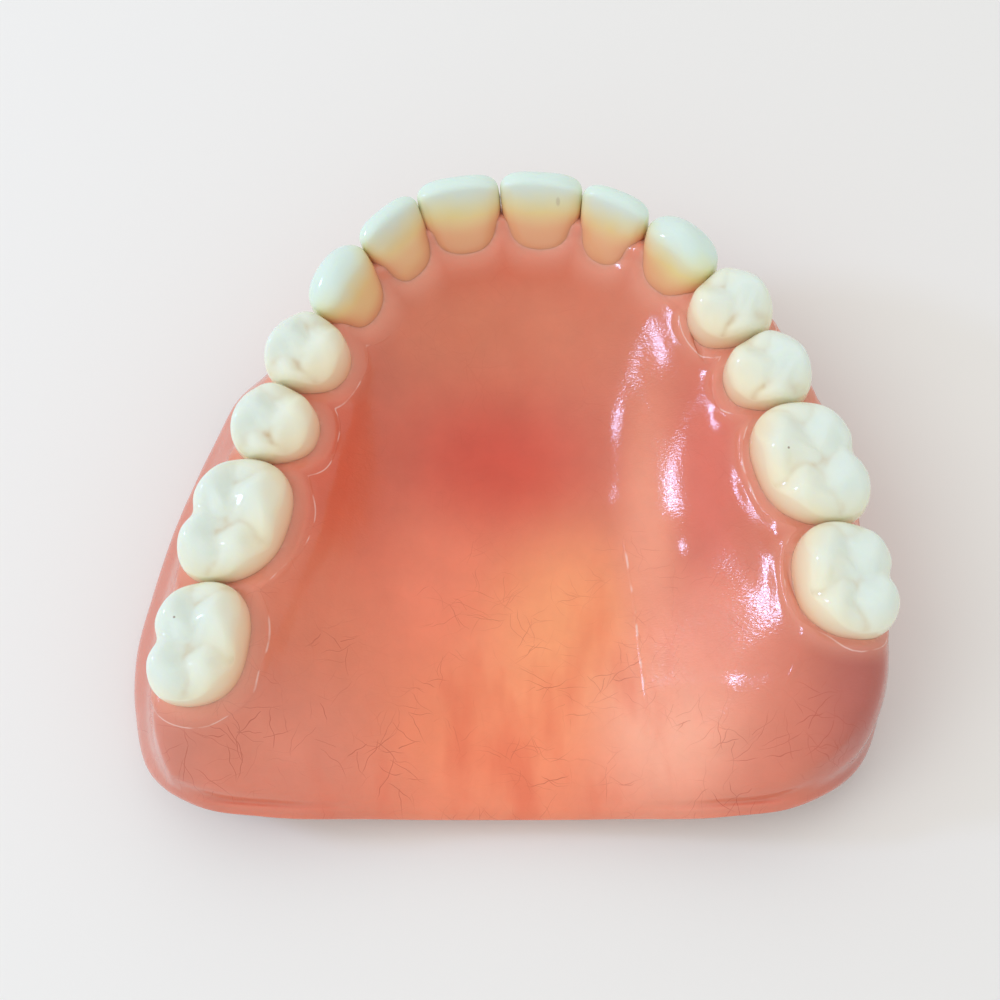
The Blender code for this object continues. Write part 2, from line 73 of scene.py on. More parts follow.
def linear(hex_code, alpha=1.0):
    """An sRGB hex colour as linear values."""
    levels = [int(hex_code[i:i + 2], 16) / 255 for i in (1, 3, 5)]
    light = [v / 12.92 if v <= 0.04045 else ((v + 0.055) / 1.055) ** 2.4 for v in levels]
    return (*light, alpha)


def add(tree, kind, sockets=None, **settings):
    """Add a shader node; sockets gives its inputs' values, or the outputs or nodes that feed them."""
    node = tree.nodes.new("ShaderNode" + kind)
    for name, value in settings.items():
        setattr(node, name, value)
    for name, value in (sockets or {}).items():
        if isinstance(value, bpy.types.Node):
            value = value.outputs[0]
        if isinstance(value, bpy.types.NodeSocket):
            tree.links.new(value, node.inputs[name])
        else:
            node.inputs[name].default_value = value
    return node


def places_of(vertices):
    """The places of some vertices as an array."""
    return np.array([vertex.co for vertex in vertices])


# %% [markdown]
# ## The camera
# The photograph looks down at the palate from behind, about 20 degrees off the vertical.
# Its place and lens come from matching the edges of all fourteen teeth.

# %% Make the camera
CAMERA_PLACE = Vector((-9.112, 40.825, 120.077)) * MM
CAMERA_RIGHT = Vector((-0.9972, -0.0078, -0.0747))
CAMERA_UP = Vector((-0.0183, -0.9394, 0.3424))
CAMERA_BACK = Vector((-0.0729, 0.3428, 0.9366))
SENSOR_WIDTH = 36.0
LENS = 46.99

camera = bpy.data.objects.new("camera", bpy.data.cameras.new("camera"))
camera.data.sensor_width = SENSOR_WIDTH
camera.data.lens = LENS
camera.data.clip_start = 0.005
axes = Matrix((CAMERA_RIGHT, CAMERA_UP, CAMERA_BACK)).transposed()
camera.matrix_world = Matrix.Translation(CAMERA_PLACE) @ axes.to_4x4()
bpy.context.scene.collection.objects.link(camera)
bpy.context.scene.camera = camera
print("camera", round(camera.location.length / MM), "mm from the origin")

# %% [markdown]
# ## The denture's sizes
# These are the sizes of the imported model: where the teeth stand, how deep their crowns
# are, and how the border of the base runs. Everything below is worked out from them. The
# lips are towards -Y and the wearer's right towards +X.

# %% Sizes of the arch and the base
OCCLUSAL_HEIGHT = 19.8
PALATE_HEIGHT = 5.2
PALATE_THICKNESS = 2.2
FLANGE_THICKNESS = 2.4
BORDER_THICKNESS = 1.9
ROOF_THICKNESS = 1.3
COLLAR_WIDTH = 0.7
LEDGE_WIDTH = 1.2
LEDGE_DROP = 0.8
PAPILLA_RISE = 0.6
FLANGE_FULLNESS = 0.8
FRONT_OVERHANG = 3.0
SIDE_LEAN = 1.3
BACK_INSET = 3.6
VAULT_POWER = 2.3
EVEN_MIDDLE = 36.0
EVEN_RIM = 3.0
LIP_NOTCH = (3.6, 0.0, 5.5)
CHEEK_NOTCH = (2.4, 52.0, 6.0)
BORDER_TRIM = 0.13
CONTACT_GAP = 0.25
CONTACT_SWELL = 0.10
FOOT_RECESS = 0.6
PALATE_CENTRE = (0.0, 8.0)
FRAME_SHIFT = (0.0343, -0.2673)

BORDER_OUTLINE = [
    (0.0, -26.2), (7.5, -25.6), (14.0, -23.0), (19.5, -18.7), (24.3, -14.0),
    (28.0, -8.8), (31.2, -1.5), (33.4, 7.2), (34.4, 13.8), (33.7, 19.2),
    (31.1, 24.3), (26.2, 27.4), (20.0, 28.3), (10.0, 28.4), (0.0, 28.4),
]
BORDER_HEIGHTS = [
    (0, 0.6), (14, 0.3), (26, -0.4), (42, -0.4), (60, 0.4), (76, -0.4), (102, -0.8),
    (110, 0.4), (119, 3.4), (127, 5.6), (136, 5.2), (148, 3.8), (162, 2.9), (180, 2.6),
]
BACK_HEIGHTS = [(90, 12.0), (112, 11.2), (124, 9.6), (136, 7.4), (148, 6.0), (162, 5.1), (180, 4.8)]
ARCHES = {
    "right": [
        (-0.95, -26.60), (6.70, -25.25), (11.80, -20.80), (15.65, -14.25), (18.55, -7.60),
        (20.45, -0.90), (23.40, 10.00), (24.50, 20.20), (22.20, 27.60),
    ],
    "left": [
        (-0.95, -26.60), (-8.60, -25.60), (-14.60, -22.40), (-20.10, -17.60), (-23.60, -11.80),
        (-25.90, -5.30), (-29.30, 5.40), (-30.40, 15.00), (-25.60, 27.40),
    ],
}
SIDES = {"right": 1, "left": -1}

# %% Sizes of the crowns, in the order of the arch
INCISOR_SECTIONS = [
    (0.00, 0.93, 0.80, 0.14), (0.07, 0.98, 0.94, 0.24), (0.25, 1.00, 1.00, 0.46),
    (0.50, 0.98, 0.98, 0.80), (0.72, 0.90, 0.84, 1.00), (1.00, 0.75, 0.50, 0.88),
]
CANINE_SECTIONS = [
    (0.00, 0.80, 0.72, 0.26), (0.10, 0.93, 0.90, 0.44), (0.27, 1.00, 1.00, 0.68),
    (0.50, 0.97, 0.98, 0.92), (0.72, 0.88, 0.88, 1.00), (1.00, 0.74, 0.58, 0.84),
]
MOLAR_SECTIONS = [
    (0.00, 0.82, 0.78, 0.78), (0.22, 0.95, 0.94, 0.93), (0.45, 1.00, 1.00, 1.00),
    (0.66, 0.97, 0.93, 0.97), (0.84, 0.91, 0.82, 0.90), (1.00, 0.83, 0.70, 0.82),
]
INCISOR_CUSPS = [(-0.62, 0.15, 0.00), (0.00, 0.15, 0.00), (0.50, 0.15, 0.10)]
CANINE_CUSPS = [(-0.05, 0.15, 0.00), (0.45, 0.0, 0.75), (-0.50, 0.0, 0.60)]
PREMOLAR_CUSPS = [(0.04, 0.52, 0.00), (-0.14, -0.52, 0.45), (-0.66, -0.02, 0.95), (0.66, -0.10, 1.00)]
MOLAR_CUSPS = [
    (-0.44, 0.56, 0.00), (0.42, 0.58, 0.10), (-0.24, -0.50, 0.15), (0.60, -0.42, 0.55),
    (-0.78, -0.02, 0.95), (0.16, -0.02, 1.05),
]
TOOTH_FIELDS = ("width", "outward", "inward", "top", "gum_out", "gum_in", "foot", "lean", "skew", "taper",
                "square", "groove", "slope", "sections", "cusps")
TOOTH_ROWS = {
    "central_incisor": (
        7.40, 1.3, 3.1, 0.4, 9.2, 6.0, 9.8, 6.0, 0.0, 0.14, 3.6, 0.0, 0.28, INCISOR_SECTIONS, INCISOR_CUSPS),
    "lateral_incisor": (
        6.30, 1.2, 3.2, 0.2, 8.6, 5.6, 9.4, 6.0, 0.0, 0.17, 3.0, 0.0, 0.32, INCISOR_SECTIONS, INCISOR_CUSPS),
    "canine": (
        7.12, 2.1, 3.2, 0.4, 9.0, 5.4, 9.6, 4.0, 0.0, 0.18, 2.6, 0.0, 0.45, CANINE_SECTIONS, CANINE_CUSPS),
    "first_premolar": (
        6.62, 2.6, 4.4, 0.2, 6.8, 5.4, 8.4, 0.0, 0.08, 0.12, 2.3, 0.0, 0.55, MOLAR_SECTIONS, PREMOLAR_CUSPS),
    "second_premolar": (
        6.64, 2.8, 4.4, 0.0, 6.4, 5.2, 8.2, 0.0, 0.08, 0.12, 2.3, 0.0, 0.55, MOLAR_SECTIONS, PREMOLAR_CUSPS),
    "first_molar": (
        10.90, 3.8, 4.5, 0.0, 6.2, 5.2, 8.2, 0.0, 0.22, 0.06, 2.6, 0.7, 0.50, MOLAR_SECTIONS, MOLAR_CUSPS),
    "second_molar": (
        9.80, 3.9, 3.8, -0.3, 5.8, 5.0, 8.0, 0.0, 0.18, 0.06, 2.6, 0.7, 0.50, MOLAR_SECTIONS, MOLAR_CUSPS),
}
TOOTH_SETTING = {
    "right_central_incisor": {"turn": -4.0}, "left_central_incisor": {"turn": 2.0},
    "left_lateral_incisor": {"turn": 2.0}, "right_first_premolar": {"trim": 0.4},
    "right_second_premolar": {"trim": 0.3}, "right_first_molar": {"trim": 0.1},
    "right_second_molar": {"trim": 0.3}, "left_first_molar": {"lean": 4.0},
    "left_second_molar": {"trim": -0.4, "lean": 9.0},
}


# %% [markdown]
# ## Curves through a few points
# A maker sets a few points and lets a smooth line run through them. Both the arch and the
# border are such lines, read at many places.

# %% Smooth lines
def smooth_curve(places, values, wanted):
    """Cubic curve through the values, read at the wanted places."""
    places = np.asarray(places, float)
    values = np.asarray(values, float)
    slopes = np.gradient(values, places, axis=0)
    wanted = np.clip(wanted, places[0], places[-1])
    cell = np.clip(np.searchsorted(places, wanted, side="right") - 1, 0, len(places) - 2)
    span = places[cell + 1] - places[cell]
    t = (wanted - places[cell]) / span
    if values.ndim > 1:
        t = t[..., None]
        span = span[..., None]
    start = values[cell] * (2 * t ** 3 - 3 * t ** 2 + 1) + slopes[cell] * span * (t ** 3 - 2 * t ** 2 + t)
    end = values[cell + 1] * (3 * t ** 2 - 2 * t ** 3) + slopes[cell + 1] * span * (t ** 3 - t ** 2)
    return start + end


def lengths(points):
    """How far along a line of points each point lies."""
    return np.concatenate([[0.0], np.cumsum(np.linalg.norm(np.diff(points, axis=0), axis=1))])


def fine_line(points, count=400):
    """The smooth line through a list of points, as many close points."""
    points = np.array(points, float)
    places = lengths(points)
    return smooth_curve(places, points, np.linspace(0.0, places[-1], count))


def step_up(values, low, high):
    """Nought below low, one above high, and a smooth rise between."""
    t = np.clip((values - low) / (high - low), 0.0, 1.0)
    return t * t * (3 - 2 * t)


# %% Where each tooth stands on the arch
def arch_teeth(word):
    """The seven teeth of one side with their middles and their mesial to distal directions."""
    line = fine_line(ARCHES[word])
    teeth = []
    index = 0
    for kind_name, row in TOOTH_ROWS.items():
        name = word + "_" + kind_name
        tooth = {"turn": 0.0, "trim": 0.0, **dict(zip(TOOTH_FIELDS, row)), **TOOTH_SETTING.get(name, {})}
        tooth["width"] += tooth["trim"]
        tooth.update(name=name, kind=kind_name, side=SIDES[word])
        reach = np.linalg.norm(line[index:] - line[index], axis=1)
        pitch = tooth["width"] + CONTACT_GAP
        step = int(np.argmax(reach >= pitch))
        end = line[index + step]
        chord = (end - line[index]) / np.linalg.norm(end - line[index])
        tooth["chord"] = chord
        tooth["outwards"] = np.array([chord[1], -chord[0]]) * tooth["side"]
        tooth["middle"] = (line[index] + end) / 2
        teeth.append(tooth)
        index += step
    return teeth


teeth = arch_teeth("right") + arch_teeth("left")
print("teeth placed:", len(teeth))


# %% [markdown]
# ## Modelling a crown
# A denture tooth is moulded in layers of resin. Its crown is a rounded box in plan, widest
# a little below the chewing face, and drawn in towards the foot that sits in the base. A
# sphere already has that topology, with one pole in the middle of the chewing face and the
# other under the foot, so each crown starts as a sphere whose rows and columns are moved
# to the crown's own sections.

# %% A sphere that knows its rows and columns
def sphere_grid(columns, rows):
    """A sphere mesh, with the row and the column of each of its vertices."""
    shape = bmesh.new()
    bmesh.ops.create_uvsphere(shape, u_segments=columns, v_segments=rows, radius=1.0)
    points = places_of(shape.verts)
    row = np.rint(np.arccos(np.clip(points[:, 2], -1.0, 1.0)) / math.pi * rows).astype(int)
    turn = np.arctan2(points[:, 1], points[:, 0]) / (2 * math.pi)
    column = np.rint(turn * columns).astype(int) % columns
    return shape, row, column


def move_to(shape, row, column, grid):
    """Move each vertex to its place in a grid of rows and columns."""
    for vertex, place in zip(shape.verts, grid[row, column]):
        vertex.co = Vector(place)
    bmesh.ops.recalc_face_normals(shape, faces=shape.faces)


# %% The outline of a crown at any depth
def section(tooth, depth, angles, grow):
    """Points of a crown's outline, x along the arch and y outwards; depth is a share of the foot's."""
    keys = np.array(tooth["sections"])
    width_share, outward_share, inward_share = (
        smooth_curve(keys[:, 0], keys[:, i], depth) for i in (1, 2, 3))
    power = 2.0 / tooth["square"]
    across = np.sign(np.cos(angles)) * np.abs(np.cos(angles)) ** power
    deep = np.sign(np.sin(angles)) * np.abs(np.sin(angles)) ** power
    outer = tooth["outward"] * outward_share + grow
    inner = tooth["inward"] * inward_share + grow
    y = deep * np.where(deep > 0, outer, inner)
    x = across * (tooth["width"] / 2 * width_share + CONTACT_SWELL + grow)
    notch = tooth["groove"] * outward_share * np.exp(-((x / tooth["width"]) / 0.10) ** 2)
    y = y - np.where(deep > 0, notch, 0.0)
    x = x * (1 + tooth["taper"] * np.minimum(y, 0.0) / tooth["inward"])
    return x + tooth["skew"] * y, y


def even_angles(tooth, columns):
    """Angles that share out the columns evenly along the crown's outline."""
    fine = np.linspace(0.0, 2 * math.pi, 1441)
    x, y = section(tooth, np.full((1, 1), 0.4), fine, 0.0)
    steps = np.hypot(np.diff(x[0]), np.diff(y[0]))
    along = np.concatenate([[0.0], np.cumsum(steps)])
    return np.interp(np.arange(columns) * along[-1] / columns, along, fine)


# %% [markdown]
# The chewing face is a landscape of cusps. Each cusp is a rounded hill that runs out in a
# ridge towards the middle of the tooth, and the valleys between the hills are the fissures.
# Small wrinkles round each hill are what catches the light on a real molar. The incisors
# only have a nearly straight edge.

# %% Cusps and fissures
FISSURE_SOFTNESS = 0.14
FISSURE_DRIFT = 0.34
WRINKLE_HEIGHT = 0.045
HILLS = {
    "edge": {"round": 0.7, "steep": 1.2, "along": 1.0, "wrinkle": 0.0, "shoulder": 0.65, "start": 0.10},
    "chewing": {"round": 1.3, "steep": 1.55, "along": 0.75, "wrinkle": 1.0, "shoulder": 0.75,
                "start": 0.62},
}
FRONT_KINDS = ("central_incisor", "lateral_incisor", "canine")


def hill_tops(tooth):
    """The cusps of a tooth; on a front tooth they are the points of one unbroken edge."""
    cusps = np.array(tooth["cusps"])
    if tooth["kind"] not in FRONT_KINDS:
        return cusps
    order = cusps[np.argsort(cusps[:, 0])]
    along = np.linspace(order[0, 0], order[-1, 0], 13)
    return np.stack([along] + [np.interp(along, order[:, 0], order[:, i]) for i in (1, 2)], axis=1)


def chewing_face(tooth, x, y, share):
    """Height of the chewing face against the tooth's top, and how close it is to a fissure."""
    form = HILLS["edge" if tooth["kind"] in FRONT_KINDS else "chewing"]
    drift = form["wrinkle"] * FISSURE_DRIFT
    x, y = x + drift * np.sin(1.7 * y + tooth["width"]), y + drift * np.sin(1.5 * x + 2.0 * tooth["side"])
    heights = []
    for number, (along, side, drop) in enumerate(hill_tops(tooth)):
        peak_y = side * (tooth["outward"] if side > 0 else tooth["inward"])
        peak_x = along * tooth["width"] / 2 + tooth["skew"] * peak_y
        heading = math.atan2(-peak_y, -peak_x)
        dx = x - peak_x
        dy = y - peak_y
        down = dx * math.cos(heading) + dy * math.sin(heading)
        cross = -dx * math.sin(heading) + dy * math.cos(heading)
        away = np.hypot(down * np.where(down > 0, form["along"], 1.0), cross)
        hill = tooth["slope"] * form["steep"] * (np.sqrt(away ** 2 + form["round"] ** 2) - form["round"])
        bearing = np.arctan2(cross, down)
        ripples = np.cos(5 * bearing + number) + 0.7 * np.cos(9 * bearing + 2.3 * number + 1.5 * away)
        wrinkle = form["wrinkle"] * WRINKLE_HEIGHT * ripples * step_up(away, 0.4, 1.6)
        heights.append(-drop - hill + wrinkle)
    heights = np.array(heights)
    order = np.sort(heights, axis=0)
    top = order[-1]
    spread = np.exp((heights - top) / FISSURE_SOFTNESS).sum(axis=0)
    valley = np.exp(-((top - order[-2]) / 0.35) ** 2)
    pit = np.exp(-((top - order[-3]) / 0.30) ** 2)
    near = (0.35 * valley + 0.65 * pit) * step_up(-top, 0.7, 1.5)
    rounded = np.clip((share - form["start"]) / (1 - form["start"]), 0.0, 1.0)
    shoulder = form["shoulder"] * (1 - np.sqrt(1 - 0.96 * rounded ** 2))
    height = top + FISSURE_SOFTNESS * np.log(spread) - FISSURE_SOFTNESS - shoulder
    return height, near * form["wrinkle"]


# %% The whole crown as a grid of rows and columns
CAP_ROWS = 26
SIDE_ROWS = 34
FOOT_ROWS = 4
CROWN_COLUMNS = 96
HOLLOW_DEPTH = 0.10
SMOOTHING_ROUNDS = 5
EDGE_ROUNDS = 14
EDGE_ROWS = 8


def crown_grid(tooth, columns, cap_rows, side_rows, foot_rows, grow=0.0):
    """Places of a crown's vertices, and the closeness to a fissure, row by row from the top."""
    angles = even_angles(tooth, columns)
    share = (np.arange(cap_rows + 1) / cap_rows)[:, None]
    # the rim lies where the chewing face meets the side, so it is found by a few rounds
    rim_depth = np.full((1, columns), 0.1)
    for _ in range(6):
        rim_x, rim_y = section(tooth, rim_depth, angles, grow)
        rim_z = chewing_face(tooth, rim_x, rim_y, share[-1:])[0]
        rim_depth = 0.5 * rim_depth + 0.5 * np.clip(-rim_z / tooth["foot"], 0.02, 0.4)
    cap_x = share * rim_x
    cap_y = share * rim_y
    cap_z, fissure = chewing_face(tooth, cap_x, cap_y, share)
    rows = (np.arange(1, side_rows + 1) / side_rows)[:, None] ** 1.15
    depth = rim_depth + (1 - rim_depth) * rows
    x, y = section(tooth, depth, angles, grow)
    z = -depth * tooth["foot"]
    if tooth["sections"] is not MOLAR_SECTIONS:
        bowl = np.exp(-(x / (tooth["width"] * 0.26)) ** 2) * np.exp(-((depth - 0.32) / 0.14) ** 2)
        y = np.where(y < 0, y * (1 - HOLLOW_DEPTH * bowl), y)
    z[-1] -= grow
    sole_x = x[-1]
    sole_y = y[-1]
    middle = (sole_y.max() + sole_y.min()) / 2
    shrink = np.linspace(1.0, 0.0, foot_rows + 1)[1:, None]
    foot_x = sole_x * shrink
    foot_y = middle + (sole_y - middle) * shrink
    foot_z = z[-1] + FOOT_RECESS * step_up(1 - shrink, 0.2, 0.7)
    grid = np.stack([
        np.concatenate([cap_x, x, foot_x]), np.concatenate([cap_y, y, foot_y]),
        np.concatenate([cap_z + grow, z, foot_z + 0 * foot_x]),
    ], axis=2)
    flat = np.zeros((side_rows + foot_rows, columns))
    return grid, np.concatenate([fissure, flat])


# %% [markdown]
# A crown is modelled round its own axis and then set on the arch. Its tip height, its turn
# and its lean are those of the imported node. Each vertex also remembers two things that the
# material needs: how deep it lies below the tip, and how close it is to a fissure.

# %% Put a crown on the arch
def crown_place(tooth):
    """The move from a crown's own axes to its place in the frame."""
    heading = math.atan2(-tooth["outwards"][0], tooth["outwards"][1]) + math.radians(tooth["turn"])
    place = Vector((
        tooth["middle"][0] + FRAME_SHIFT[0], tooth["middle"][1] + FRAME_SHIFT[1],
        OCCLUSAL_HEIGHT + tooth["top"],
    )) + tooth["nudge"]
    lean = Matrix.Rotation(-math.radians(tooth["lean"]), 4, "X")
    return Matrix.Translation(place) @ Matrix.Rotation(heading, 4, "Z") @ lean


WARM_SHIFT = 1.3
LIP_SHARE = 0.45


def smooth(shape, verts, rounds):
    """Even out some vertices of a shape."""
    for _ in range(rounds):
        bmesh.ops.smooth_vert(shape, verts=verts, factor=0.5, use_axis_x=True, use_axis_y=True,
                              use_axis_z=True)


def crown_shape(tooth, columns, cap_rows, side_rows, foot_rows, grow=0.0):
    """A crown as a bmesh in millimetres, with its vertex values."""
    grid, fissure = crown_grid(tooth, columns, cap_rows, side_rows, foot_rows, grow)
    shape, row, column = sphere_grid(columns, cap_rows + side_rows + foot_rows)
    grid[..., 0] *= -tooth["side"]
    move_to(shape, row, column, grid)
    smooth(shape, shape.verts, SMOOTHING_ROUNDS)
    # the edge of a front tooth turns softly into its back
    if tooth["kind"] in FRONT_KINDS:
        edge = [vertex for vertex, place in zip(shape.verts, row) if place < cap_rows + EDGE_ROWS]
        smooth(shape, edge, EDGE_ROUNDS)
    local = places_of(shape.verts)
    # the resin is warmer towards the palate, as if it were deeper there
    if tooth["kind"] in FRONT_KINDS:
        depth = -local[:, 2] * (LIP_SHARE + (1 - LIP_SHARE) * step_up(-local[:, 1], -0.8, 0.6))
    else:
        depth = -local[:, 2] + WARM_SHIFT * step_up(-local[:, 1], -0.5, 0.9 * tooth["inward"])
    bmesh.ops.transform(shape, matrix=crown_place(tooth), verts=shape.verts)
    return shape, depth, fissure[row, column]


def finished_object(name, shape):
    """Turn a bmesh in millimetres into an object at the origin, smooth shaded."""
    bmesh.ops.scale(shape, vec=(MM, MM, MM), verts=shape.verts)
    mesh = bpy.data.meshes.new(name)
    shape.to_mesh(mesh)
    shape.free()
    mesh.shade_smooth()
    piece = bpy.data.objects.new(name, mesh)
    bpy.context.scene.collection.objects.link(piece)
    return piece


def store(piece, name, values):
    """Keep one number per vertex on the mesh, for the material to read."""
    layer = piece.data.attributes.new(name, "FLOAT", "POINT")
    layer.data.foreach_set("value", np.asarray(values, dtype=np.float32))


# %% Make the fourteen teeth
def outside_box(shape):
    """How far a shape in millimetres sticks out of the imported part's box, as a vector."""
    low, high = (np.array(corner) / MM for corner in cad_box)
    places = places_of(shape.verts)
    return Vector(np.maximum(places.max(axis=0) - high, 0.0) + np.minimum(places.min(axis=0) - low, 0.0))


crowns = {}
for tooth in teeth:
    tooth["nudge"] = Vector((0.0, 0.0, 0.0))
    shape, depth, fissure = crown_shape(tooth, CROWN_COLUMNS, CAP_ROWS, SIDE_ROWS, FOOT_ROWS)
    tooth["nudge"] = -outside_box(shape)
    bmesh.ops.translate(shape, vec=tooth["nudge"], verts=shape.verts)
    piece = finished_object(tooth["name"] + "_crown", shape)
    store(piece, "depth", depth)
    store(piece, "fissure", fissure)
    crowns[tooth["name"]] = piece
print("crowns:", len(crowns), "with", len(piece.data.polygons), "faces each")


def tree_of(*pieces):
    """The faces of some pieces as one tree for finding distances and overlaps, in metres."""
    points = []
    faces = []
    for piece in pieces:
        start = len(points)
        points += [vertex.co.copy() for vertex in piece.data.vertices]
        faces += [[start + i for i in polygon.vertices] for polygon in piece.data.polygons]
    return BVHTree.FromPolygons(points, faces)


# teeth[0] and teeth[7] are the central incisors, which also stand side by side
for one, other in [*zip(teeth, teeth[1:]), (teeth[0], teeth[7])]:
    if tree_of(crowns[one["name"]]).overlap(tree_of(crowns[other["name"]])):
        print("overlap:", one["name"], other["name"])


# %% [markdown]
# ## Modelling the base
# The base is one shell of even thickness: the palate, the gum round the teeth, the flange
# down to the rolled border, and the fitting side that would rest on the ridge. It is worked
# out as profiles that start in the middle of the palate and run out over the gum, round the
# border and back inside, one for each direction. Again a sphere has the right topology, so
# the profiles become the columns of a sphere.

# %% The border and the back edge
def around_centre(points):
    """Angles from the front midline and distances, seen from the palate's middle."""
    x = points[:, 0] - PALATE_CENTRE[0]
    y = points[:, 1] - PALATE_CENTRE[1]
    return np.degrees(np.arctan2(x, -y)), np.hypot(x, y)


def angle_of(point):
    """The angle of one point."""
    return around_centre(np.array([point]))[0][0]


def border_angles(count):
    """Angles of profiles that stand evenly along the whole border."""
    line = fine_line(BORDER_OUTLINE)
    at = around_centre(line)[0]
    places = lengths(line)
    half = np.interp((np.arange(count // 2) + 0.5) * places[-1] / (count // 2), places, at)
    return np.concatenate([-half[::-1], half])


def border_radius(angles):
    """Distance of the border from the palate's middle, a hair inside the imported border's corners."""
    at, away = around_centre(fine_line(BORDER_OUTLINE))
    return np.interp(np.abs(angles), at, away) - BORDER_TRIM


def border_height(angles):
    """Height of the border, with its notches, and nought on the resting lands."""
    keys = np.array(BORDER_HEIGHTS, float)
    turned = np.abs(angles)
    height = np.maximum(smooth_curve(keys[:, 0], keys[:, 1], turned), 0.0)
    for depth, middle, spread in (LIP_NOTCH, CHEEK_NOTCH):
        height = height + depth * np.exp(-((turned - middle) / spread) ** 2)
    return height


# %% What the gum takes from the teeth
def arch_fields(angles):
    """Radius of the arch, the crowns' outward and inward depths, and the gum heights."""
    rows = []
    for word, side in SIDES.items():
        for tooth in [t for t in teeth if t["side"] == side]:
            tilt = math.tan(math.radians(tooth["lean"])) * 0.8
            top = OCCLUSAL_HEIGHT + tooth["top"]
            rows.append((
                angle_of(tooth["middle"]), tooth["outward"] * 0.95 - tilt * tooth["gum_out"],
                tooth["inward"] + tilt * tooth["gum_in"], top - tooth["gum_out"], top - tooth["gum_in"],
                top - tooth["foot"],
            ))
        last = rows[-1]
        rows += [(angle,) + last[1:] for angle in (angle_of(ARCHES[word][-1]), side * 180.0)]
    rows = np.array(sorted(rows))
    fields = [smooth_curve(rows[:, 0], rows[:, column], angles) for column in range(1, 6)]
    line = np.concatenate([fine_line(ARCHES["left"])[::-1], fine_line(ARCHES["right"])[1:]])
    at, away = around_centre(line)
    order = np.argsort(at)
    return [np.interp(angles, at[order], away[order])] + fields


def between_teeth(angles):
    """One at the contacts between neighbouring teeth, nought at their middles."""
    wave = np.zeros_like(angles)
    for tooth in teeth:
        ends = [tooth["middle"] + tooth["chord"] * tooth["width"] / 2 * way for way in (-1, 1)]
        low, high = sorted(angle_of(end) for end in ends)
        inside = (angles > low) & (angles < high)
        middle = angle_of(tooth["middle"])
        half = np.where(angles > middle, high - middle, middle - low)
        wave = np.where(inside, 1 - np.abs(angles - middle) / half, wave)
    return (1 - wave) ** 1.4


def soften(values, angles, spread):
    """Even out values round the palate's middle, over about the given angle."""
    gap = (angles[:, None] - angles[None, :] + 180.0) % 360.0 - 180.0
    weight = np.exp(-0.5 * (gap / spread) ** 2) * np.abs(np.gradient(angles))[None, :]
    return weight @ values / weight.sum(axis=1)


# %% The profiles of the base
ROWS_PER_SPAN = [3, 3, 4, 5, 6, 6, 6, 7, 6, 5, 6, 6, 6, 8, 7, 5, 5, 5, 4, 5, 5, 4, 4, 4, 4, 4, 4, 3]


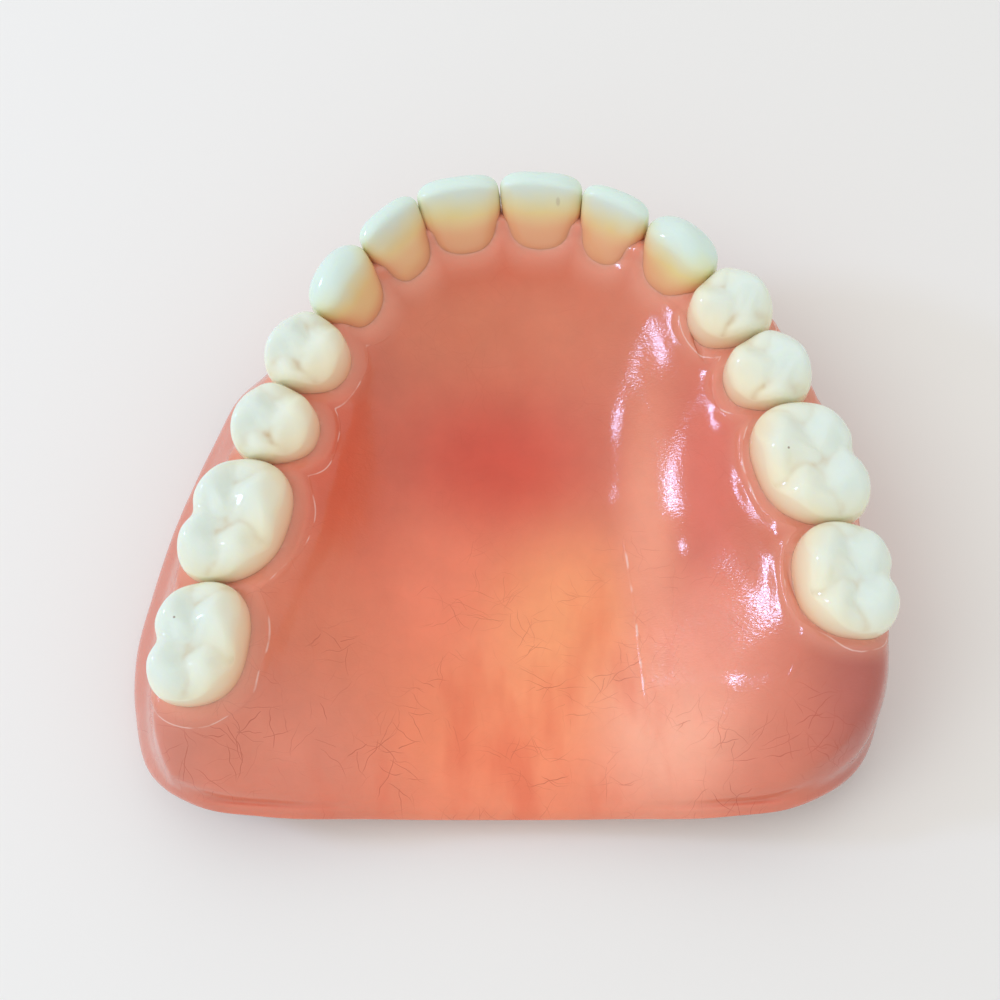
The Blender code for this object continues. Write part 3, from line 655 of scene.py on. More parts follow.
def base_profiles(angles):
    """Control points from the palate's middle outwards, then back along the fitting side."""
    radius, out, inn, gum_out, gum_in, foot = arch_fields(angles)
    turned = np.abs(angles)
    border = border_radius(angles)
    radius = np.where(turned > 100.0, np.minimum(radius, border - BACK_INSET), radius)
    low = border_height(angles)
    ridge = step_up(152.0 - turned, 0.0, 40.0)
    crown = step_up(130.0 - turned, 0.0, 22.0)
    back = 1.0 - ridge
    keys = np.array(BACK_HEIGHTS)
    edge = smooth_curve(keys[:, 0], keys[:, 1], turned)
    gum_out = gum_out * crown + (edge - 0.6) * (1 - crown)
    gum_in = gum_in * crown + edge * (1 - crown)
    front = step_up(85.0 - turned, 0.0, 30.0)
    overhang = FRONT_OVERHANG * front - SIDE_LEAN * (1 - front)
    margin_out = np.minimum(radius + out + COLLAR_WIDTH, border + overhang)
    margin_in = radius - inn - COLLAR_WIDTH
    palate_edge = (margin_in - LEDGE_WIDTH) * ridge + border * 0.80 * back
    palate_rim = gum_in - LEDGE_DROP * crown

    def palate(share):
        spread = EVEN_MIDDLE * (1 - share) + EVEN_RIM
        rise = soften(palate_rim - PALATE_HEIGHT, angles, spread) * share ** VAULT_POWER
        return soften(palate_edge, angles, spread) * share, PALATE_HEIGHT + rise

    def blend(ridge_point, flat_share, flat_drop=0.0):
        flat_r = border * flat_share
        return ridge_point[0] * ridge + flat_r * back, ridge_point[1] * ridge + (edge - flat_drop) * back

    def under(share):
        r, z = palate(share)
        lean = VAULT_POWER * (z - PALATE_HEIGHT) / r
        return r, z - PALATE_THICKNESS * np.sqrt(1 + lean ** 2)

    # the gum climbs between the teeth and dips at their middles
    gap = between_teeth(angles) * crown
    scallop_in = gum_in + (gap - 0.35) * 0.9 * crown
    scallop_out = gum_out + (gap - 0.35) * 1.0 * crown
    tuck = inn * 0.16 * gap
    middle = low + (gum_out - low) * 0.5
    mid_radius = (border + margin_out) / 2 + FLANGE_FULLNESS * front
    top = np.maximum(gum_out, gum_in) + 0.35 * gap
    # over the backs of the front teeth the gum thins out to a film
    film = step_up(38.0 - turned, 0.0, 12.0)
    margin_r = margin_in + tuck + film * (COLLAR_WIDTH + 0.15)
    margin_z = scallop_in + 0.1 + film * 0.35
    crest_r = radius - inn * (0.45 + 0.27 * film * (1 - 0.5 * gap))
    crest_z = top + PAPILLA_RISE + film * (0.75 + 0.35 * gap)
    polished = [palate(share) for share in (0.15, 0.32, 0.50, 0.66, 0.79, 0.90, 1.0)] + [
        blend((margin_r, margin_z), 0.87),
        blend((crest_r, crest_z), 0.89),
        blend((radius + out * 0.4, top + PAPILLA_RISE * 0.6), 0.91),
        blend((margin_out - 0.3 - 0.3 * gap, scallop_out), 0.93),
        blend((margin_out + 0.2, gum_out - 1.4), 0.945, 0.05),
        blend((mid_radius, middle), 0.965, 0.2),
        blend((border * 0.8 + mid_radius * 0.2 + 0.2, low + (gum_out - low) * 0.25), 0.985, 0.55),
        (border, low + BORDER_THICKNESS * 0.6),
        (border - BORDER_THICKNESS * 0.35, low),
    ]
    trough = (foot - ROOF_THICKNESS) * crown + (edge - 2.8) * (1 - crown)
    trough_out = np.minimum(margin_out - FLANGE_THICKNESS - 0.8, radius + out)
    trough_in = margin_in + 0.8
    flat = PALATE_THICKNESS
    under_edge = under(1.0)
    fitting = [
        (border - BORDER_THICKNESS, low),
        blend((border - FLANGE_THICKNESS - 0.2, low + (trough - low) * 0.22), 0.93, flat),
        blend((mid_radius - FLANGE_THICKNESS, low + (trough - low) * 0.58), 0.91, flat),
        blend((trough_out, trough - 1.0), 0.89, flat),
        blend(((trough_out + trough_in) / 2, trough), 0.87, flat),
        blend((trough_in, trough - 1.0), 0.84, flat),
        (under_edge[0] + 0.4 * ridge, np.minimum(under_edge[1], trough - 2.4 * ridge)),
    ] + [under(share) for share in (0.85, 0.68, 0.48, 0.26)]
    centre = np.zeros_like(angles)
    return np.array([(centre, centre + PALATE_HEIGHT), *polished, *fitting,
                     (centre, centre + PALATE_HEIGHT - PALATE_THICKNESS)])


# %% Turn the profiles into the columns of a sphere
BASE_COLUMNS = 540


def base_grid(columns):
    """Places of the base's vertices, row by row from the palate's middle."""
    angles = border_angles(columns)
    profiles = base_profiles(angles)
    wanted = np.concatenate([i + np.arange(n) / n for i, n in enumerate(ROWS_PER_SPAN)]
                            + [[float(len(ROWS_PER_SPAN))]])
    grid = np.empty((len(wanted), columns, 3))
    for column in range(columns):
        line = profiles[:, :, column]
        along = lengths(line)
        r, z = smooth_curve(along, line, np.interp(wanted, np.arange(len(along)), along)).T
        turn = math.radians(angles[column])
        grid[:, column, 0] = PALATE_CENTRE[0] + FRAME_SHIFT[0] + r * math.sin(turn)
        grid[:, column, 1] = PALATE_CENTRE[1] + FRAME_SHIFT[1] - r * math.cos(turn)
        grid[:, column, 2] = np.maximum(z, 0.0)
    return grid


FRONT_TRIM = 0.08
TRIMMED_FRONT = (26.0, 28.2)

# the foremost part of the flange is drawn in a little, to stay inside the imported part's box
grid = base_grid(BASE_COLUMNS)
grid[..., 1] += FRONT_TRIM * step_up(-grid[..., 1], *TRIMMED_FRONT)
base_shape, base_row, base_column = sphere_grid(BASE_COLUMNS, len(grid) - 1)
move_to(base_shape, base_row, base_column, grid)
print("base:", len(base_shape.verts), "vertices in", len(grid) - 2, "rings")

# %% [markdown]
# A hand-polished palate is never quite even. A few low, broad swellings on the left slope
# and slow waves over the whole polished side break its reflections into patches.

# %% Waves of a hand-polished surface
WAVE_HEIGHT = 0.025
SWELLINGS = [
    # x, y, half length along x and y, height
    (-16.7, 15.3, 4.8, 4.2, 0.70), (-15.7, -10.0, 3.0, 5.3, 0.47), (-16.6, 5.0, 2.0, 2.4, -0.36),
    (-12.0, -6.3, 1.3, 4.0, 0.30), (-11.7, -0.4, 1.4, 1.9, 0.31), (-18.2, 10.7, 6.1, 3.2, 0.55),
    (-20.6, 17.4, 8.0, 1.6, 0.20), (-17.1, -3.4, 2.7, 5.8, -0.17), (-15.3, -11.0, 2.2, 3.6, 0.27),
    (-14.0, -15.6, 1.0, 1.3, -0.10),
]
POLISHED_ROWS = sum(ROWS_PER_SPAN[:14])
PALATE_ROWS = sum(ROWS_PER_SPAN[:8])


def wave(place):
    """A slow, irregular rise and fall over the polished side."""
    return noise.noise(place * 0.22) + 0.5 * noise.noise(place * 0.47 + Vector((7.0, 3.0, 1.0)))


def swelling(place):
    """Height of the low, broad swellings at a place."""
    return sum(height * math.exp(-((place.x - x) / half_x) ** 2 - ((place.y - y) / half_y) ** 2)
               for x, y, half_x, half_y, height in SWELLINGS)


base_shape.normal_update()
for vertex, row in zip(base_shape.verts, base_row):
    if row < PALATE_ROWS:
        vertex.co.z += swelling(vertex.co) + WAVE_HEIGHT * wave(vertex.co)

# %% [markdown]
# The technician trims the wax round each neck, which leaves a small roll of gum. It follows
# the tooth at a fixed distance, so it is raised by the distance from each vertex of the gum
# to the nearest crown.

# %% Raise the roll of gum round the necks
ROLL_DISTANCE = {True: 1.15, False: 0.75}
ROLL_WIDTH = 0.30
ROLL_HEIGHT = 0.18
GROOVE_DEPTH = 0.10
GROOVE_WIDTH = 0.25
LOWEST_GUM = 6.0

crown_tree = tree_of(*crowns.values())
base_shape.normal_update()
near_gum = [vertex for vertex, row in zip(base_shape.verts, base_row)
            if 0 < row < POLISHED_ROWS and vertex.co.z > LOWEST_GUM]
moves = []
for vertex in near_gum:
    away = crown_tree.find_nearest(vertex.co * MM)[3] / MM
    # behind the incisors the gum is a smooth film with no roll
    behind = float(step_up(vertex.co.y, -19.0, -10.0))
    outside = float(step_up(math.hypot(vertex.co.x, vertex.co.y - PALATE_CENTRE[1]), 26.0, 33.0))
    roll = ROLL_HEIGHT * math.exp(-((away - ROLL_DISTANCE[vertex.co.x > 0]) / ROLL_WIDTH) ** 2)
    groove = GROOVE_DEPTH * math.exp(-(away / GROOVE_WIDTH) ** 2)
    moves.append((roll - groove) * max(behind, outside))
for vertex, move in zip(near_gum, moves):
    vertex.co += vertex.normal * move
print("gum vertices near the necks:", len(near_gum))

# %% Store on the crowns how close the gum is on the palate side
BLUSH_REACH = {True: 1.2, False: 0.8}
BLUSH_STRENGTH = {True: 0.9, False: 0.45}


def blush_values(tooth, piece, gum_tree):
    """One at the gum line of the tooth's palate side, falling to nought towards its tip."""
    front = tooth["kind"] in FRONT_KINDS
    places = places_of(piece.data.vertices) / MM
    inside = (places[:, :2] - tooth["middle"] - FRAME_SHIFT) @ -tooth["outwards"]
    palate_side = step_up(inside, -0.5, 0.8)
    away = np.array([gum_tree.find_nearest(Vector(place))[3] for place in places])
    return BLUSH_STRENGTH[front] * np.exp(-(away / BLUSH_REACH[front]) ** 1.3) * palate_side


gum_tree = BVHTree.FromBMesh(base_shape)
for tooth in teeth:
    piece = crowns[tooth["name"]]
    store(piece, "blush", blush_values(tooth, piece, gum_tree))

# %% [markdown]
# The teeth sit in sockets. A slightly larger copy of all the crowns is cut out of the base,
# so the two never overlap and the gum ends in a crisp margin.

# %% Cut the sockets
SOCKET_GAP = 0.015
CUTTER_COLUMNS = 80

cutter_shape = bmesh.new()
for tooth in teeth:
    shape = crown_shape(tooth, CUTTER_COLUMNS, 8, 30, 4, SOCKET_GAP)[0]
    part = bpy.data.meshes.new("cutter_part")
    shape.to_mesh(part)
    shape.free()
    cutter_shape.from_mesh(part)
    bpy.data.meshes.remove(part)
cutter = finished_object("cutter", cutter_shape)
base = finished_object("denture_base_shell", base_shape)
cut = base.modifiers.new("sockets", "BOOLEAN")
cut.operation = "DIFFERENCE"
cut.solver = "MANIFOLD"
cut.object = cutter
bpy.context.view_layer.objects.active = base
with bpy.context.temp_override(object=base, active_object=base):
    bpy.ops.object.modifier_apply(modifier=cut.name)
bpy.data.objects.remove(cutter, do_unlink=True)
base.data.shade_smooth()
base.data.set_sharp_from_angle(angle=math.radians(50))
print("base after the cut:", len(base.data.vertices), "vertices,", len(base.data.polygons), "faces")

# %% [markdown]
# ## What the plastic shows
# The acrylic is translucent. Where it lies thinly over a tooth, the tooth shows through, and
# this is why the gum fades so softly into the front teeth. Each vertex therefore stores how
# much tooth lies just below it.

# %% Store how much of a tooth shows through the gum
VEIL_DEPTH = 0.8


def veil_values(piece):
    """One where a tooth lies right under the surface, falling to nought as the gum gets thick."""
    values = np.zeros(len(piece.data.vertices))
    for i, vertex in enumerate(piece.data.vertices):
        hit = crown_tree.ray_cast(vertex.co + vertex.normal * 0.1 * MM, -vertex.normal, 3.0 * MM)
        if hit[0] is not None:
            values[i] = math.exp(-max(hit[3] / MM - 0.1, 0.0) / VEIL_DEPTH)
    return values


COLLAR_REACH = 1.4
COLLAR_SHARE = 0.7
FAR_AWAY = 9.0
TRIM_DISTANCE = {True: 1.5, False: 0.7}
TRIM_STRAY = 0.7
SLOPE_FOOT_Y = (3.4, 9.0, 15.0, 21.7)
SLOPE_FOOT_X = (-11.6, -12.3, -12.8, -13.5)
SLOPE_FOOT_WIDENING = 0.6


def ledge_and_glint_values(piece, collar):
    """Distance from the lines that get a faint bump and a painted highlight: the roll round the necks and a
    line at the left slope's foot.
    """
    values = np.full(len(collar), FAR_AWAY)
    for i, vertex in enumerate(piece.data.vertices):
        place = vertex.co / MM
        on_foot = -16.0 < place.x < -10.0 and SLOPE_FOOT_Y[0] < place.y < SLOPE_FOOT_Y[-1]
        if collar[i] < 4.0 and place.y > -15.0 and place.z > 9.0:
            stray = TRIM_STRAY * noise.noise(place * 0.25 + Vector((0.0, 5.0, 0.0)))
            values[i] = collar[i] + stray - TRIM_DISTANCE[place.x > 0]
        # at the left slope's foot there is no trimmed edge, only a line for a faint bump and a painted
        # highlight
        elif on_foot and vertex.normal.z > 0.0:
            values[i] = SLOPE_FOOT_WIDENING * (place.x - np.interp(place.y, SLOPE_FOOT_Y, SLOPE_FOOT_X))
    return values


collar = np.array([crown_tree.find_nearest(vertex.co)[3] for vertex in base.data.vertices]) / MM
veil = np.maximum(veil_values(base), COLLAR_SHARE * np.exp(-(collar / COLLAR_REACH) ** 2))
store(base, "veil", veil)
store(base, "trim", ledge_and_glint_values(base, collar))
print("vertices with a tooth close below:", int((veil > 0.3).sum()))

# %% [markdown]
# The colour of the base is not even. Over the deep middle of the palate it is a strong red,
# towards the back light comes through and it turns peach, and the thick corners look dull
# mauve. These are a few soft patches, each with a place, a size and a colour. Two of them are
# partly painted light and shade: the pale band at the foot of the left slope is also painted
# sheen from the lamp on the wearer's right, and the darker band at the foot of the right slope
# is also painted shade on the slope turned away from that lamp.

# %% Paint the soft patches of colour, some of them painted light and shade
ACRYLIC = "#D67C64"
TINT_AND_PAINTED_LIGHT_PATCHES = [
    # x, y, half length along x and along y in mm, colour, strength
    (-0.5, -16.5, 14.0, 8.0, "#D98060", 0.9),    # front of the palate
    (-0.5, -22.5, 12.0, 3.4, "#D36747", 0.7),    # behind the incisors
    (0.5, -3.3, 9.5, 7.8, "#D6523F", 0.95),      # deep middle
    (5.5, 8.0, 8.0, 8.5, "#F98D6D", 0.85),       # slope to the rear
    (-1.0, 21.0, 13.5, 9.5, "#FC946A", 0.95),    # rear
    (-6.5, 11.0, 7.5, 9.0, "#FFA672", 0.9),      # brightest part
    (-15.0, 20.5, 6.0, 7.0, "#FFB89C", 0.85),    # left rear
    # painted shade: the foot of the right slope is darker, as if shaded on the slope turned away from the
    # lamp
    (14.0, -1.0, 4.4, 10.0, "#DC6548", 0.8),     # foot of the right slope
    (15.5, 12.0, 5.5, 7.5, "#E98A68", 0.75),     # right slope
    (19.0, 21.5, 8.0, 6.0, "#E58E75", 0.8),      # right rear
    (-19.0, 0.0, 3.2, 9.5, "#E07665", 0.8),      # left slope
    # painted sheen: the foot of the left slope is paler, partly as the lamp's sheen on the slope that faces
    # it
    (-13.8, 3.0, 2.6, 13.0, "#F4A386", 0.8),     # foot of the left slope
    (-19.0, 13.0, 5.0, 5.5, "#F5A18B", 0.7),     # left rear slope
    (29.5, 19.0, 5.5, 13.0, "#D28C7C", 0.75),    # right corner
    (-31.0, 19.0, 4.6, 9.0, "#AC5C54", 0.8),     # left corner
]


def tint_and_painted_light_colours(piece):
    """The base's colour at each vertex, partly painted light and shade."""
    places = places_of(piece.data.vertices) / MM
    colours = np.tile(linear(ACRYLIC), (len(places), 1))
    for x, y, half_x, half_y, hex_code, strength in TINT_AND_PAINTED_LIGHT_PATCHES:
        away = ((places[:, 0] - x) / half_x) ** 2 + ((places[:, 1] - y) / half_y) ** 2
        share = (strength * np.exp(-away ** 1.3))[:, None]
        colours = colours * (1 - share) + np.array(linear(hex_code)) * share
    return colours


layer = base.data.attributes.new("tint_and_painted_light", "FLOAT_COLOR", "POINT")
layer.data.foreach_set("color", tint_and_painted_light_colours(base).astype(np.float32).ravel())

# %% [markdown]
# ## Material of the teeth
# Denture teeth are layered acrylic resin: a milky, faintly green enamel over a warm yellow
# core. At the thin edge only enamel is seen, further down the core shows, and the fissures
# of the molars hold a little stain. The surface is polished, so highlights are small and
# sharp. The share of each layer of colour comes from the numbers stored on the mesh.

# %% Polished resin in general
POLISH = 0.12
RESIN_IOR = 1.49


def polished_resin(name, weight, radii, scale):
    """A polished resin; weight, radii and scale in mm say how light wanders in it."""
    material = bpy.data.materials.new(name)
    material.use_nodes = True
    shader = material.node_tree.nodes["Principled BSDF"]
    for socket, value in (("Roughness", POLISH), ("IOR", RESIN_IOR), ("Subsurface Weight", weight),
                          ("Subsurface Radius", radii), ("Subsurface Scale", scale * MM)):
        shader.inputs[socket].default_value = value
    return material, material.node_tree, shader


def coated(tree, colour, coats):
    """A colour covered by coats of others, each with its share from 0 to 1, the last on top."""
    for share, hex_code in coats:
        colour = add(tree, "Mix", {0: share, 6: colour, 7: linear(hex_code)}, data_type="RGBA").outputs[2]
    return colour


# %% Layered tooth resin
RAMP_DEPTH = 8.0
RAMP_ENDS = (0.06, 0.95)
ENAMEL_REACH = 3.0
SPECKS = [
    # x, y and radius in mm, share of the dark colour
    (-6.24, -24.94, 0.24, 0.22), (25.28, 13.54, 0.13, 0.7), (-25.02, -0.14, 0.12, 0.7),
]
SPECK_COLOUR = "#7E5A48"
GUM_GLOW = "#E79E7B"


def tooth_resin(name, edge, body, neck, fissure_colour, stain):
    """Resin whose colour runs from the edge over the body to the neck."""
    material, tree, shader = polished_resin(name, 0.55, (1.0, 0.85, 0.6), 0.9)
    depth = add(tree, "Attribute", attribute_name="depth").outputs["Fac"]
    place = add(tree, "TexCoord").outputs["Object"]
    cloud = add(tree, "TexNoise", {"Vector": place, "Scale": 1 / (2.5 * MM), "Detail": 2.0})
    wander = add(tree, "Math", {0: cloud, 1: 1.4, 2: -0.7}, operation="MULTIPLY_ADD")
    deep = add(tree, "Math", {0: depth, 1: wander}, operation="ADD")
    deep_share = add(tree, "MapRange", {"Value": deep, "From Min": 0.0, "From Max": RAMP_DEPTH})
    layers = add(tree, "ValToRGB", {"Fac": deep_share})
    ramp = layers.color_ramp
    ramp.interpolation = "LINEAR"
    for element, position, hex_code in zip(ramp.elements, RAMP_ENDS, (edge, neck)):
        element.position = position
        element.color = linear(hex_code)
    ramp.elements.new(ENAMEL_REACH / RAMP_DEPTH).color = linear(body)
    groove = add(tree, "Attribute", attribute_name="fissure").outputs["Fac"]
    spots = add(tree, "TexNoise", {"Vector": place, "Scale": 1 / (1.4 * MM), "Detail": 1.0})
    patchy = add(tree, "MapRange", {"Value": spots, "From Min": 0.40, "From Max": 0.62, "To Min": 0.35})
    mark = add(tree, "Math", {0: groove, 1: patchy}, operation="MULTIPLY")
    amount = add(tree, "Math", {0: mark, 1: stain}, operation="MULTIPLY")
    blush = add(tree, "Attribute", attribute_name="blush").outputs["Fac"]
    coats = [(amount, fissure_colour), (blush, GUM_GLOW)]
    seen_from_above = add(tree, "VectorMath", {0: place, 1: (1.0, 1.0, 0.0)}, operation="MULTIPLY")
    for x, y, radius, share in SPECKS:
        away = add(tree, "VectorMath", {0: seen_from_above, 1: (x * MM, y * MM, 0.0)}, operation="DISTANCE")
        speck = add(tree, "MapRange", {
            "Value": away.outputs["Value"], "From Min": radius * MM, "From Max": 0.5 * radius * MM,
            "To Max": share})
        coats.append((speck, SPECK_COLOUR))
    tree.links.new(coated(tree, layers, coats), shader.inputs["Base Color"])
    ripple = add(tree, "TexNoise", {"Vector": place, "Scale": 1 / (0.9 * MM), "Detail": 2.0})
    bump = add(tree, "Bump", {"Strength": 0.25, "Distance": 0.03 * MM, "Height": ripple})
    tree.links.new(bump.outputs["Normal"], shader.inputs["Normal"])
    return material


front_resin = tooth_resin("layered_tooth_resin_front", "#D9EBE2", "#EAEAA8", "#ECD39C", "#CDB98A", 0.0)
back_resin = tooth_resin("layered_tooth_resin_back", "#DFEAE0", "#F0ECD0", "#F2D6A8", "#C8A56A", 0.7)
for tooth in teeth:
    piece = crowns[tooth["name"]]
    piece.data.materials.append(front_resin if tooth["kind"] in FRONT_KINDS else back_resin)
    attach(piece, "root")
    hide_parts(tooth["name"])
print("teeth on the frame:", len(crowns))

# %% [markdown]
# ## Material of the base
# Heat-cured acrylic for dentures is tinted pink and has short red fibres mixed in that look
# like small blood vessels. It is polished, with a faint orange-peel texture. The fibres are
# drawn as short bent lines, one to each cell of a Voronoi pattern, turned at random, in
# several layers that cross each other.

# %% Veined denture acrylic
TRIM_WIDTH = 0.10
TRIM_HEIGHT = 0.015
# strength and colour of the highlight painted along the ledge lines
PAINTED_GLINT_STRENGTH = 0.50
PAINTED_GLINT_COLOUR = "#FBE3DA"
SCRATCH_TURN = 0.9
SCRATCHES_PER_MM = (1.6, 7.0, 4.0)
SCRATCH_DEPTH = 0.012
VEIL_COLOUR = "#EFAB92"
STREAK_COLOUR = "#E0603F"
STREAKS_PER_MM = (0.22, 0.07, 0.2)
FIBRE_COLOUR = "#A93A26"
FIBRE_STRENGTH = 0.58
FIBRE_WIDTH = 0.038
FIBRE_LAYERS = [
    # cell in mm, half length in mm, bend, share of cells that hold a fibre, shift of the pattern
    (3.6, 1.90, 0.10, 0.90, (0.0, 0.0)), (3.0, 1.55, 0.16, 0.85, (11.3, 4.7)),
    (4.2, 2.20, 0.08, 0.90, (3.9, 17.1)), (3.3, 1.70, 0.14, 0.85, (23.5, 9.2)),
    (3.8, 2.00, 0.12, 0.90, (31.7, 26.4)), (2.6, 1.30, 0.22, 0.85, (41.1, 38.3)),
    (3.4, 1.80, 0.10, 0.85, (52.9, 13.6)), (2.9, 1.45, 0.18, 0.85, (61.3, 44.8)),
]


def fibre_layer(tree, flat, cell, half_length, bend, share, shift):
    """Short bent lines, one to a cell, as a value from nought to one."""
    moved = add(tree, "VectorMath", {0: flat, 1: (*shift, 0.0)}, operation="ADD")
    cells = add(tree, "TexVoronoi", {"Vector": moved, "Scale": 1 / cell}, voronoi_dimensions="2D")
    local = add(tree, "VectorMath", {0: moved, 1: cells.outputs["Position"]}, operation="SUBTRACT")
    chance = add(tree, "SeparateColor", {0: cells.outputs["Color"]})
    turn = add(tree, "Math", {0: chance.outputs[0], 1: 2 * math.pi}, operation="MULTIPLY")
    turned = add(tree, "VectorRotate", {"Vector": local, "Angle": turn}, rotation_type="Z_AXIS")
    along = add(tree, "SeparateXYZ", {0: turned})
    square = add(tree, "Math", {0: along.outputs[0], 1: along.outputs[0]}, operation="MULTIPLY")
    bow = add(tree, "Math", {0: chance.outputs[2], 1: 2.4 * bend, 2: -1.2 * bend},
              operation="MULTIPLY_ADD")
    bent = add(tree, "Math", {0: square, 1: bow, 2: along.outputs[1]}, operation="MULTIPLY_ADD")
    side = add(tree, "Math", {0: bent}, operation="ABSOLUTE")
    length = add(tree, "Math", {0: along.outputs[0]}, operation="ABSOLUTE")
    line = add(tree, "MapRange", {"Value": side, "From Min": FIBRE_WIDTH, "From Max": 0.0})
    ends = add(tree, "MapRange", {"Value": length, "From Min": half_length, "From Max": half_length * 0.6})
    held = add(tree, "MapRange", {"Value": chance.outputs[1], "From Min": share, "From Max": 0.35 * share})
    drawn = add(tree, "Math", {0: line, 1: ends}, operation="MULTIPLY")
    return add(tree, "Math", {0: drawn, 1: held}, operation="MULTIPLY")


acrylic, tree, shader = polished_resin("veined_denture_acrylic", 0.35, (1.0, 0.35, 0.25), 0.7)
place = add(tree, "TexCoord").outputs["Object"]
in_mm = add(tree, "VectorMath", {0: place, "Scale": 1 / MM}, operation="SCALE")
sway = add(tree, "TexNoise", {"Vector": in_mm, "Scale": 0.6, "Detail": 1.0})
sway_by = add(tree, "VectorMath", {0: sway.outputs["Color"], "Scale": 0.9}, operation="SCALE")
swayed = add(tree, "VectorMath", {0: in_mm, 1: sway_by}, operation="ADD")
fibres = 0.0
for row in FIBRE_LAYERS:
    fibres = add(tree, "Math", {0: fibres, 1: fibre_layer(tree, swayed, *row)}, operation="MAXIMUM")
where = add(tree, "SeparateXYZ", {0: in_mm})
rear = add(tree, "MapRange", {
    "Value": where.outputs[1], "From Min": 1.0, "From Max": 17.0, "To Min": 0.22, "To Max": 1.0})
flock = add(tree, "TexNoise", {"Vector": in_mm, "Scale": 0.16, "Detail": 1.5})
tuft = add(tree, "MapRange", {
    "Value": flock, "From Min": 0.46, "From Max": 0.60, "To Min": 0.10, "To Max": 1.0})
dense = add(tree, "Math", {0: rear, 1: tuft}, operation="MULTIPLY")
fibre_amount = add(tree, "Math", {0: fibres, 1: dense}, operation="MULTIPLY")
fibre_share = add(tree, "Math", {0: fibre_amount, 1: FIBRE_STRENGTH}, operation="MULTIPLY")

tint_and_painted_light = add(tree, "Attribute", attribute_name="tint_and_painted_light")
mottle = add(tree, "TexNoise", {"Vector": in_mm, "Scale": 0.28, "Detail": 4.0, "Roughness": 0.6})
mottle_light = add(tree, "MapRange", {
    "Value": mottle, "From Min": 0.25, "From Max": 0.75, "To Min": 0.95, "To Max": 1.05})
mottled = add(tree, "VectorMath", {0: tint_and_painted_light, "Scale": mottle_light}, operation="SCALE")
stretched = add(tree, "VectorMath", {0: in_mm, 1: STREAKS_PER_MM}, operation="MULTIPLY")
streak = add(tree, "TexNoise", {"Vector": stretched, "Scale": 1.0, "Detail": 3.0})
streak_share = add(tree, "MapRange", {"Value": streak, "From Min": 0.50, "From Max": 0.70, "To Max": 0.45})
sideways = add(tree, "Math", {0: where.outputs[0]}, operation="ABSOLUTE")
centre = add(tree, "MapRange", {"Value": sideways, "From Min": 20.0, "From Max": 11.0})
central_rear = add(tree, "Math", {0: centre, 1: rear}, operation="MULTIPLY")
streak_rear = add(tree, "Math", {0: streak_share, 1: central_rear}, operation="MULTIPLY")
veil = add(tree, "Attribute", attribute_name="veil")
veil_share = add(tree, "MapRange", {
    "Value": veil.outputs["Fac"], "From Min": 0.05, "From Max": 1.0, "To Min": 0.0, "To Max": 0.85})

peel = add(tree, "TexNoise", {"Vector": in_mm, "Scale": 2.2, "Detail": 2.0})
peel_bump = add(tree, "Bump", {"Strength": 0.22, "Distance": 0.05 * MM, "Height": peel})
grain = add(tree, "Mapping", {
    "Vector": in_mm, "Rotation": (0.0, 0.0, SCRATCH_TURN), "Scale": SCRATCHES_PER_MM})
scratch = add(tree, "TexNoise", {"Vector": grain, "Scale": 1.0, "Detail": 2.0})
scratch_bump = add(tree, "Bump", {
    "Strength": 1.0, "Distance": SCRATCH_DEPTH * MM, "Height": scratch, "Normal": peel_bump})
trim = add(tree, "Attribute", attribute_name="trim").outputs["Fac"]
trim_away = add(tree, "Math", {0: trim}, operation="ABSOLUTE")
ledge = add(tree, "MapRange", {"Value": trim_away, "From Min": TRIM_WIDTH, "From Max": 0.0},
            interpolation_type="SMOOTHSTEP")
ledge_bump = add(tree, "Bump", {
    "Strength": 1.0, "Distance": TRIM_HEIGHT * MM, "Height": ledge, "Normal": scratch_bump})
tree.links.new(ledge_bump.outputs["Normal"], shader.inputs["Normal"])
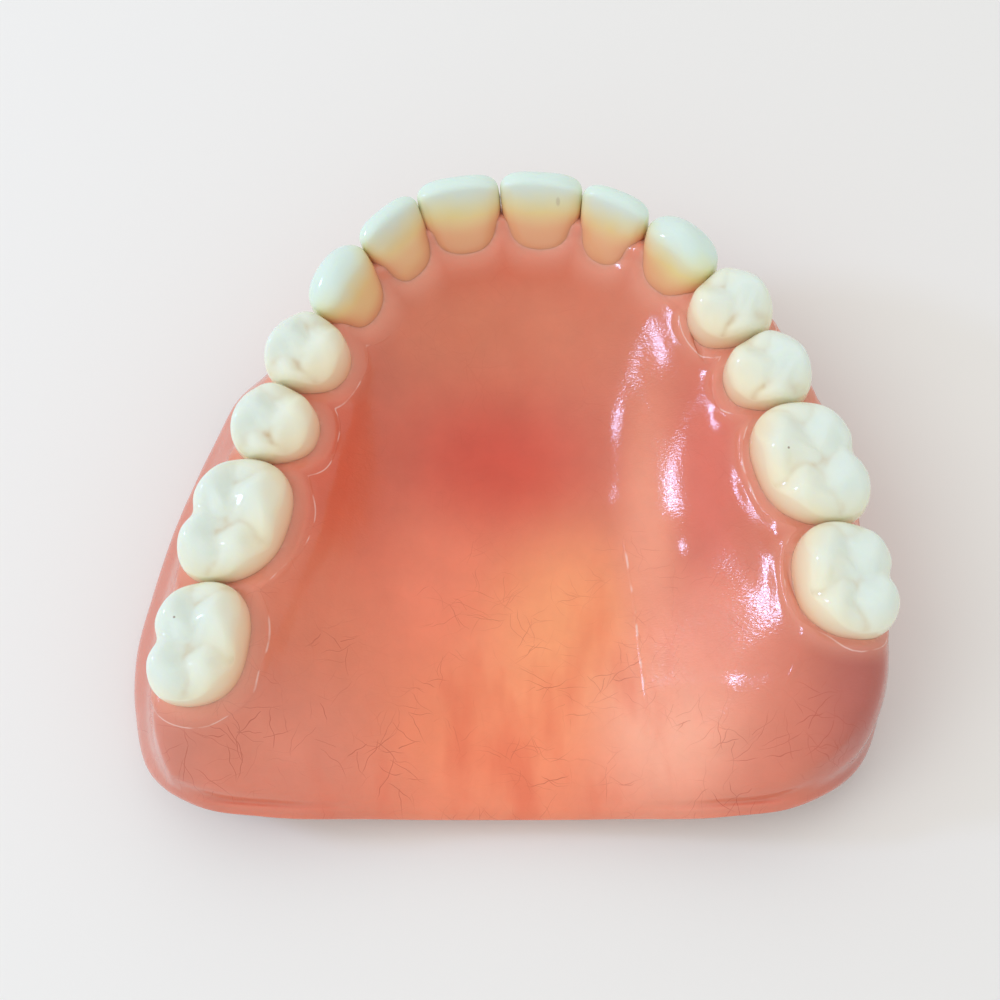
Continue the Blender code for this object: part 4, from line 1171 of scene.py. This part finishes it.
# painted highlight: a pale colour along the ledge lines, broken up by noise, stands in for the lamp's glint
# on them
gaps = add(tree, "TexNoise", {"Vector": in_mm, "Scale": 0.5, "Detail": 1.0})
seen = add(tree, "MapRange", {"Value": gaps, "From Min": 0.50, "From Max": 0.60})
painted_glint = add(tree, "Math", {0: ledge, 1: seen}, operation="MULTIPLY")
painted_glint_share = add(tree, "Math", {0: painted_glint, 1: PAINTED_GLINT_STRENGTH}, operation="MULTIPLY")
colour = coated(tree, mottled, [(streak_rear, STREAK_COLOUR), (fibre_share, FIBRE_COLOUR),
                                (veil_share, VEIL_COLOUR), (painted_glint_share, PAINTED_GLINT_COLOUR)])
tree.links.new(colour, shader.inputs["Base Color"])
base.data.materials.clear()
base.data.materials.append(acrylic)
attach(base, "root")
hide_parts("denture_base")
print("material nodes in the acrylic:", len(tree.nodes))

# %% [markdown]
# ## Floor and light
# A plain pale floor, even light from all round and one large soft lamp show the colours as
# they are. One small, bluish lamp on the wearer's right is the only one that shows in
# reflections: it draws the patches of light on the palate's left slope.

# %% Floor
FLOOR_HALF = 3000.0
floor_shape = bmesh.new()
bmesh.ops.create_grid(floor_shape, x_segments=1, y_segments=1, size=FLOOR_HALF)
floor = finished_object("floor", floor_shape)
paper = bpy.data.materials.new("pale_matt_paper")
paper.use_nodes = True
matt = paper.node_tree.nodes["Principled BSDF"].inputs
matt["Base Color"].default_value = linear("#EDECE8")
matt["Roughness"].default_value = 0.9
floor.data.materials.append(paper)

# %% Light
WORLD_STRENGTH = 0.80
LAMPS = [
    # name, place, size x and y in metres, watts, linear colour, seen in reflections
    ("overhead_softbox", (0.30, 0.04, 0.50), 0.30, 0.30, 0.62, (1.0, 1.0, 1.0), False),
    ("window_lamp", (0.384, -0.042, 0.256), 0.060, 0.045, 0.36, (0.46, 0.62, 1.0), True),
]
world = bpy.data.worlds.new("soft_studio")
world.use_nodes = True
sky = world.node_tree.nodes["Background"].inputs
sky["Color"].default_value = (1.0, 1.0, 1.0, 1.0)
sky["Strength"].default_value = WORLD_STRENGTH
bpy.context.scene.world = world
for name, lamp_place, size_x, size_y, watts, colour, mirrored in LAMPS:
    lamp = bpy.data.objects.new(name, bpy.data.lights.new(name, "AREA"))
    lamp.data.shape = "RECTANGLE"
    lamp.data.size = size_x
    lamp.data.size_y = size_y
    lamp.data.energy = watts
    lamp.data.color = colour
    lamp.location = lamp_place
    lamp.rotation_euler = (-Vector(lamp_place)).to_track_quat("-Z", "Y").to_euler()
    lamp.visible_glossy = mirrored
    bpy.context.scene.collection.objects.link(lamp)
bpy.context.scene.view_settings.view_transform = "Standard"
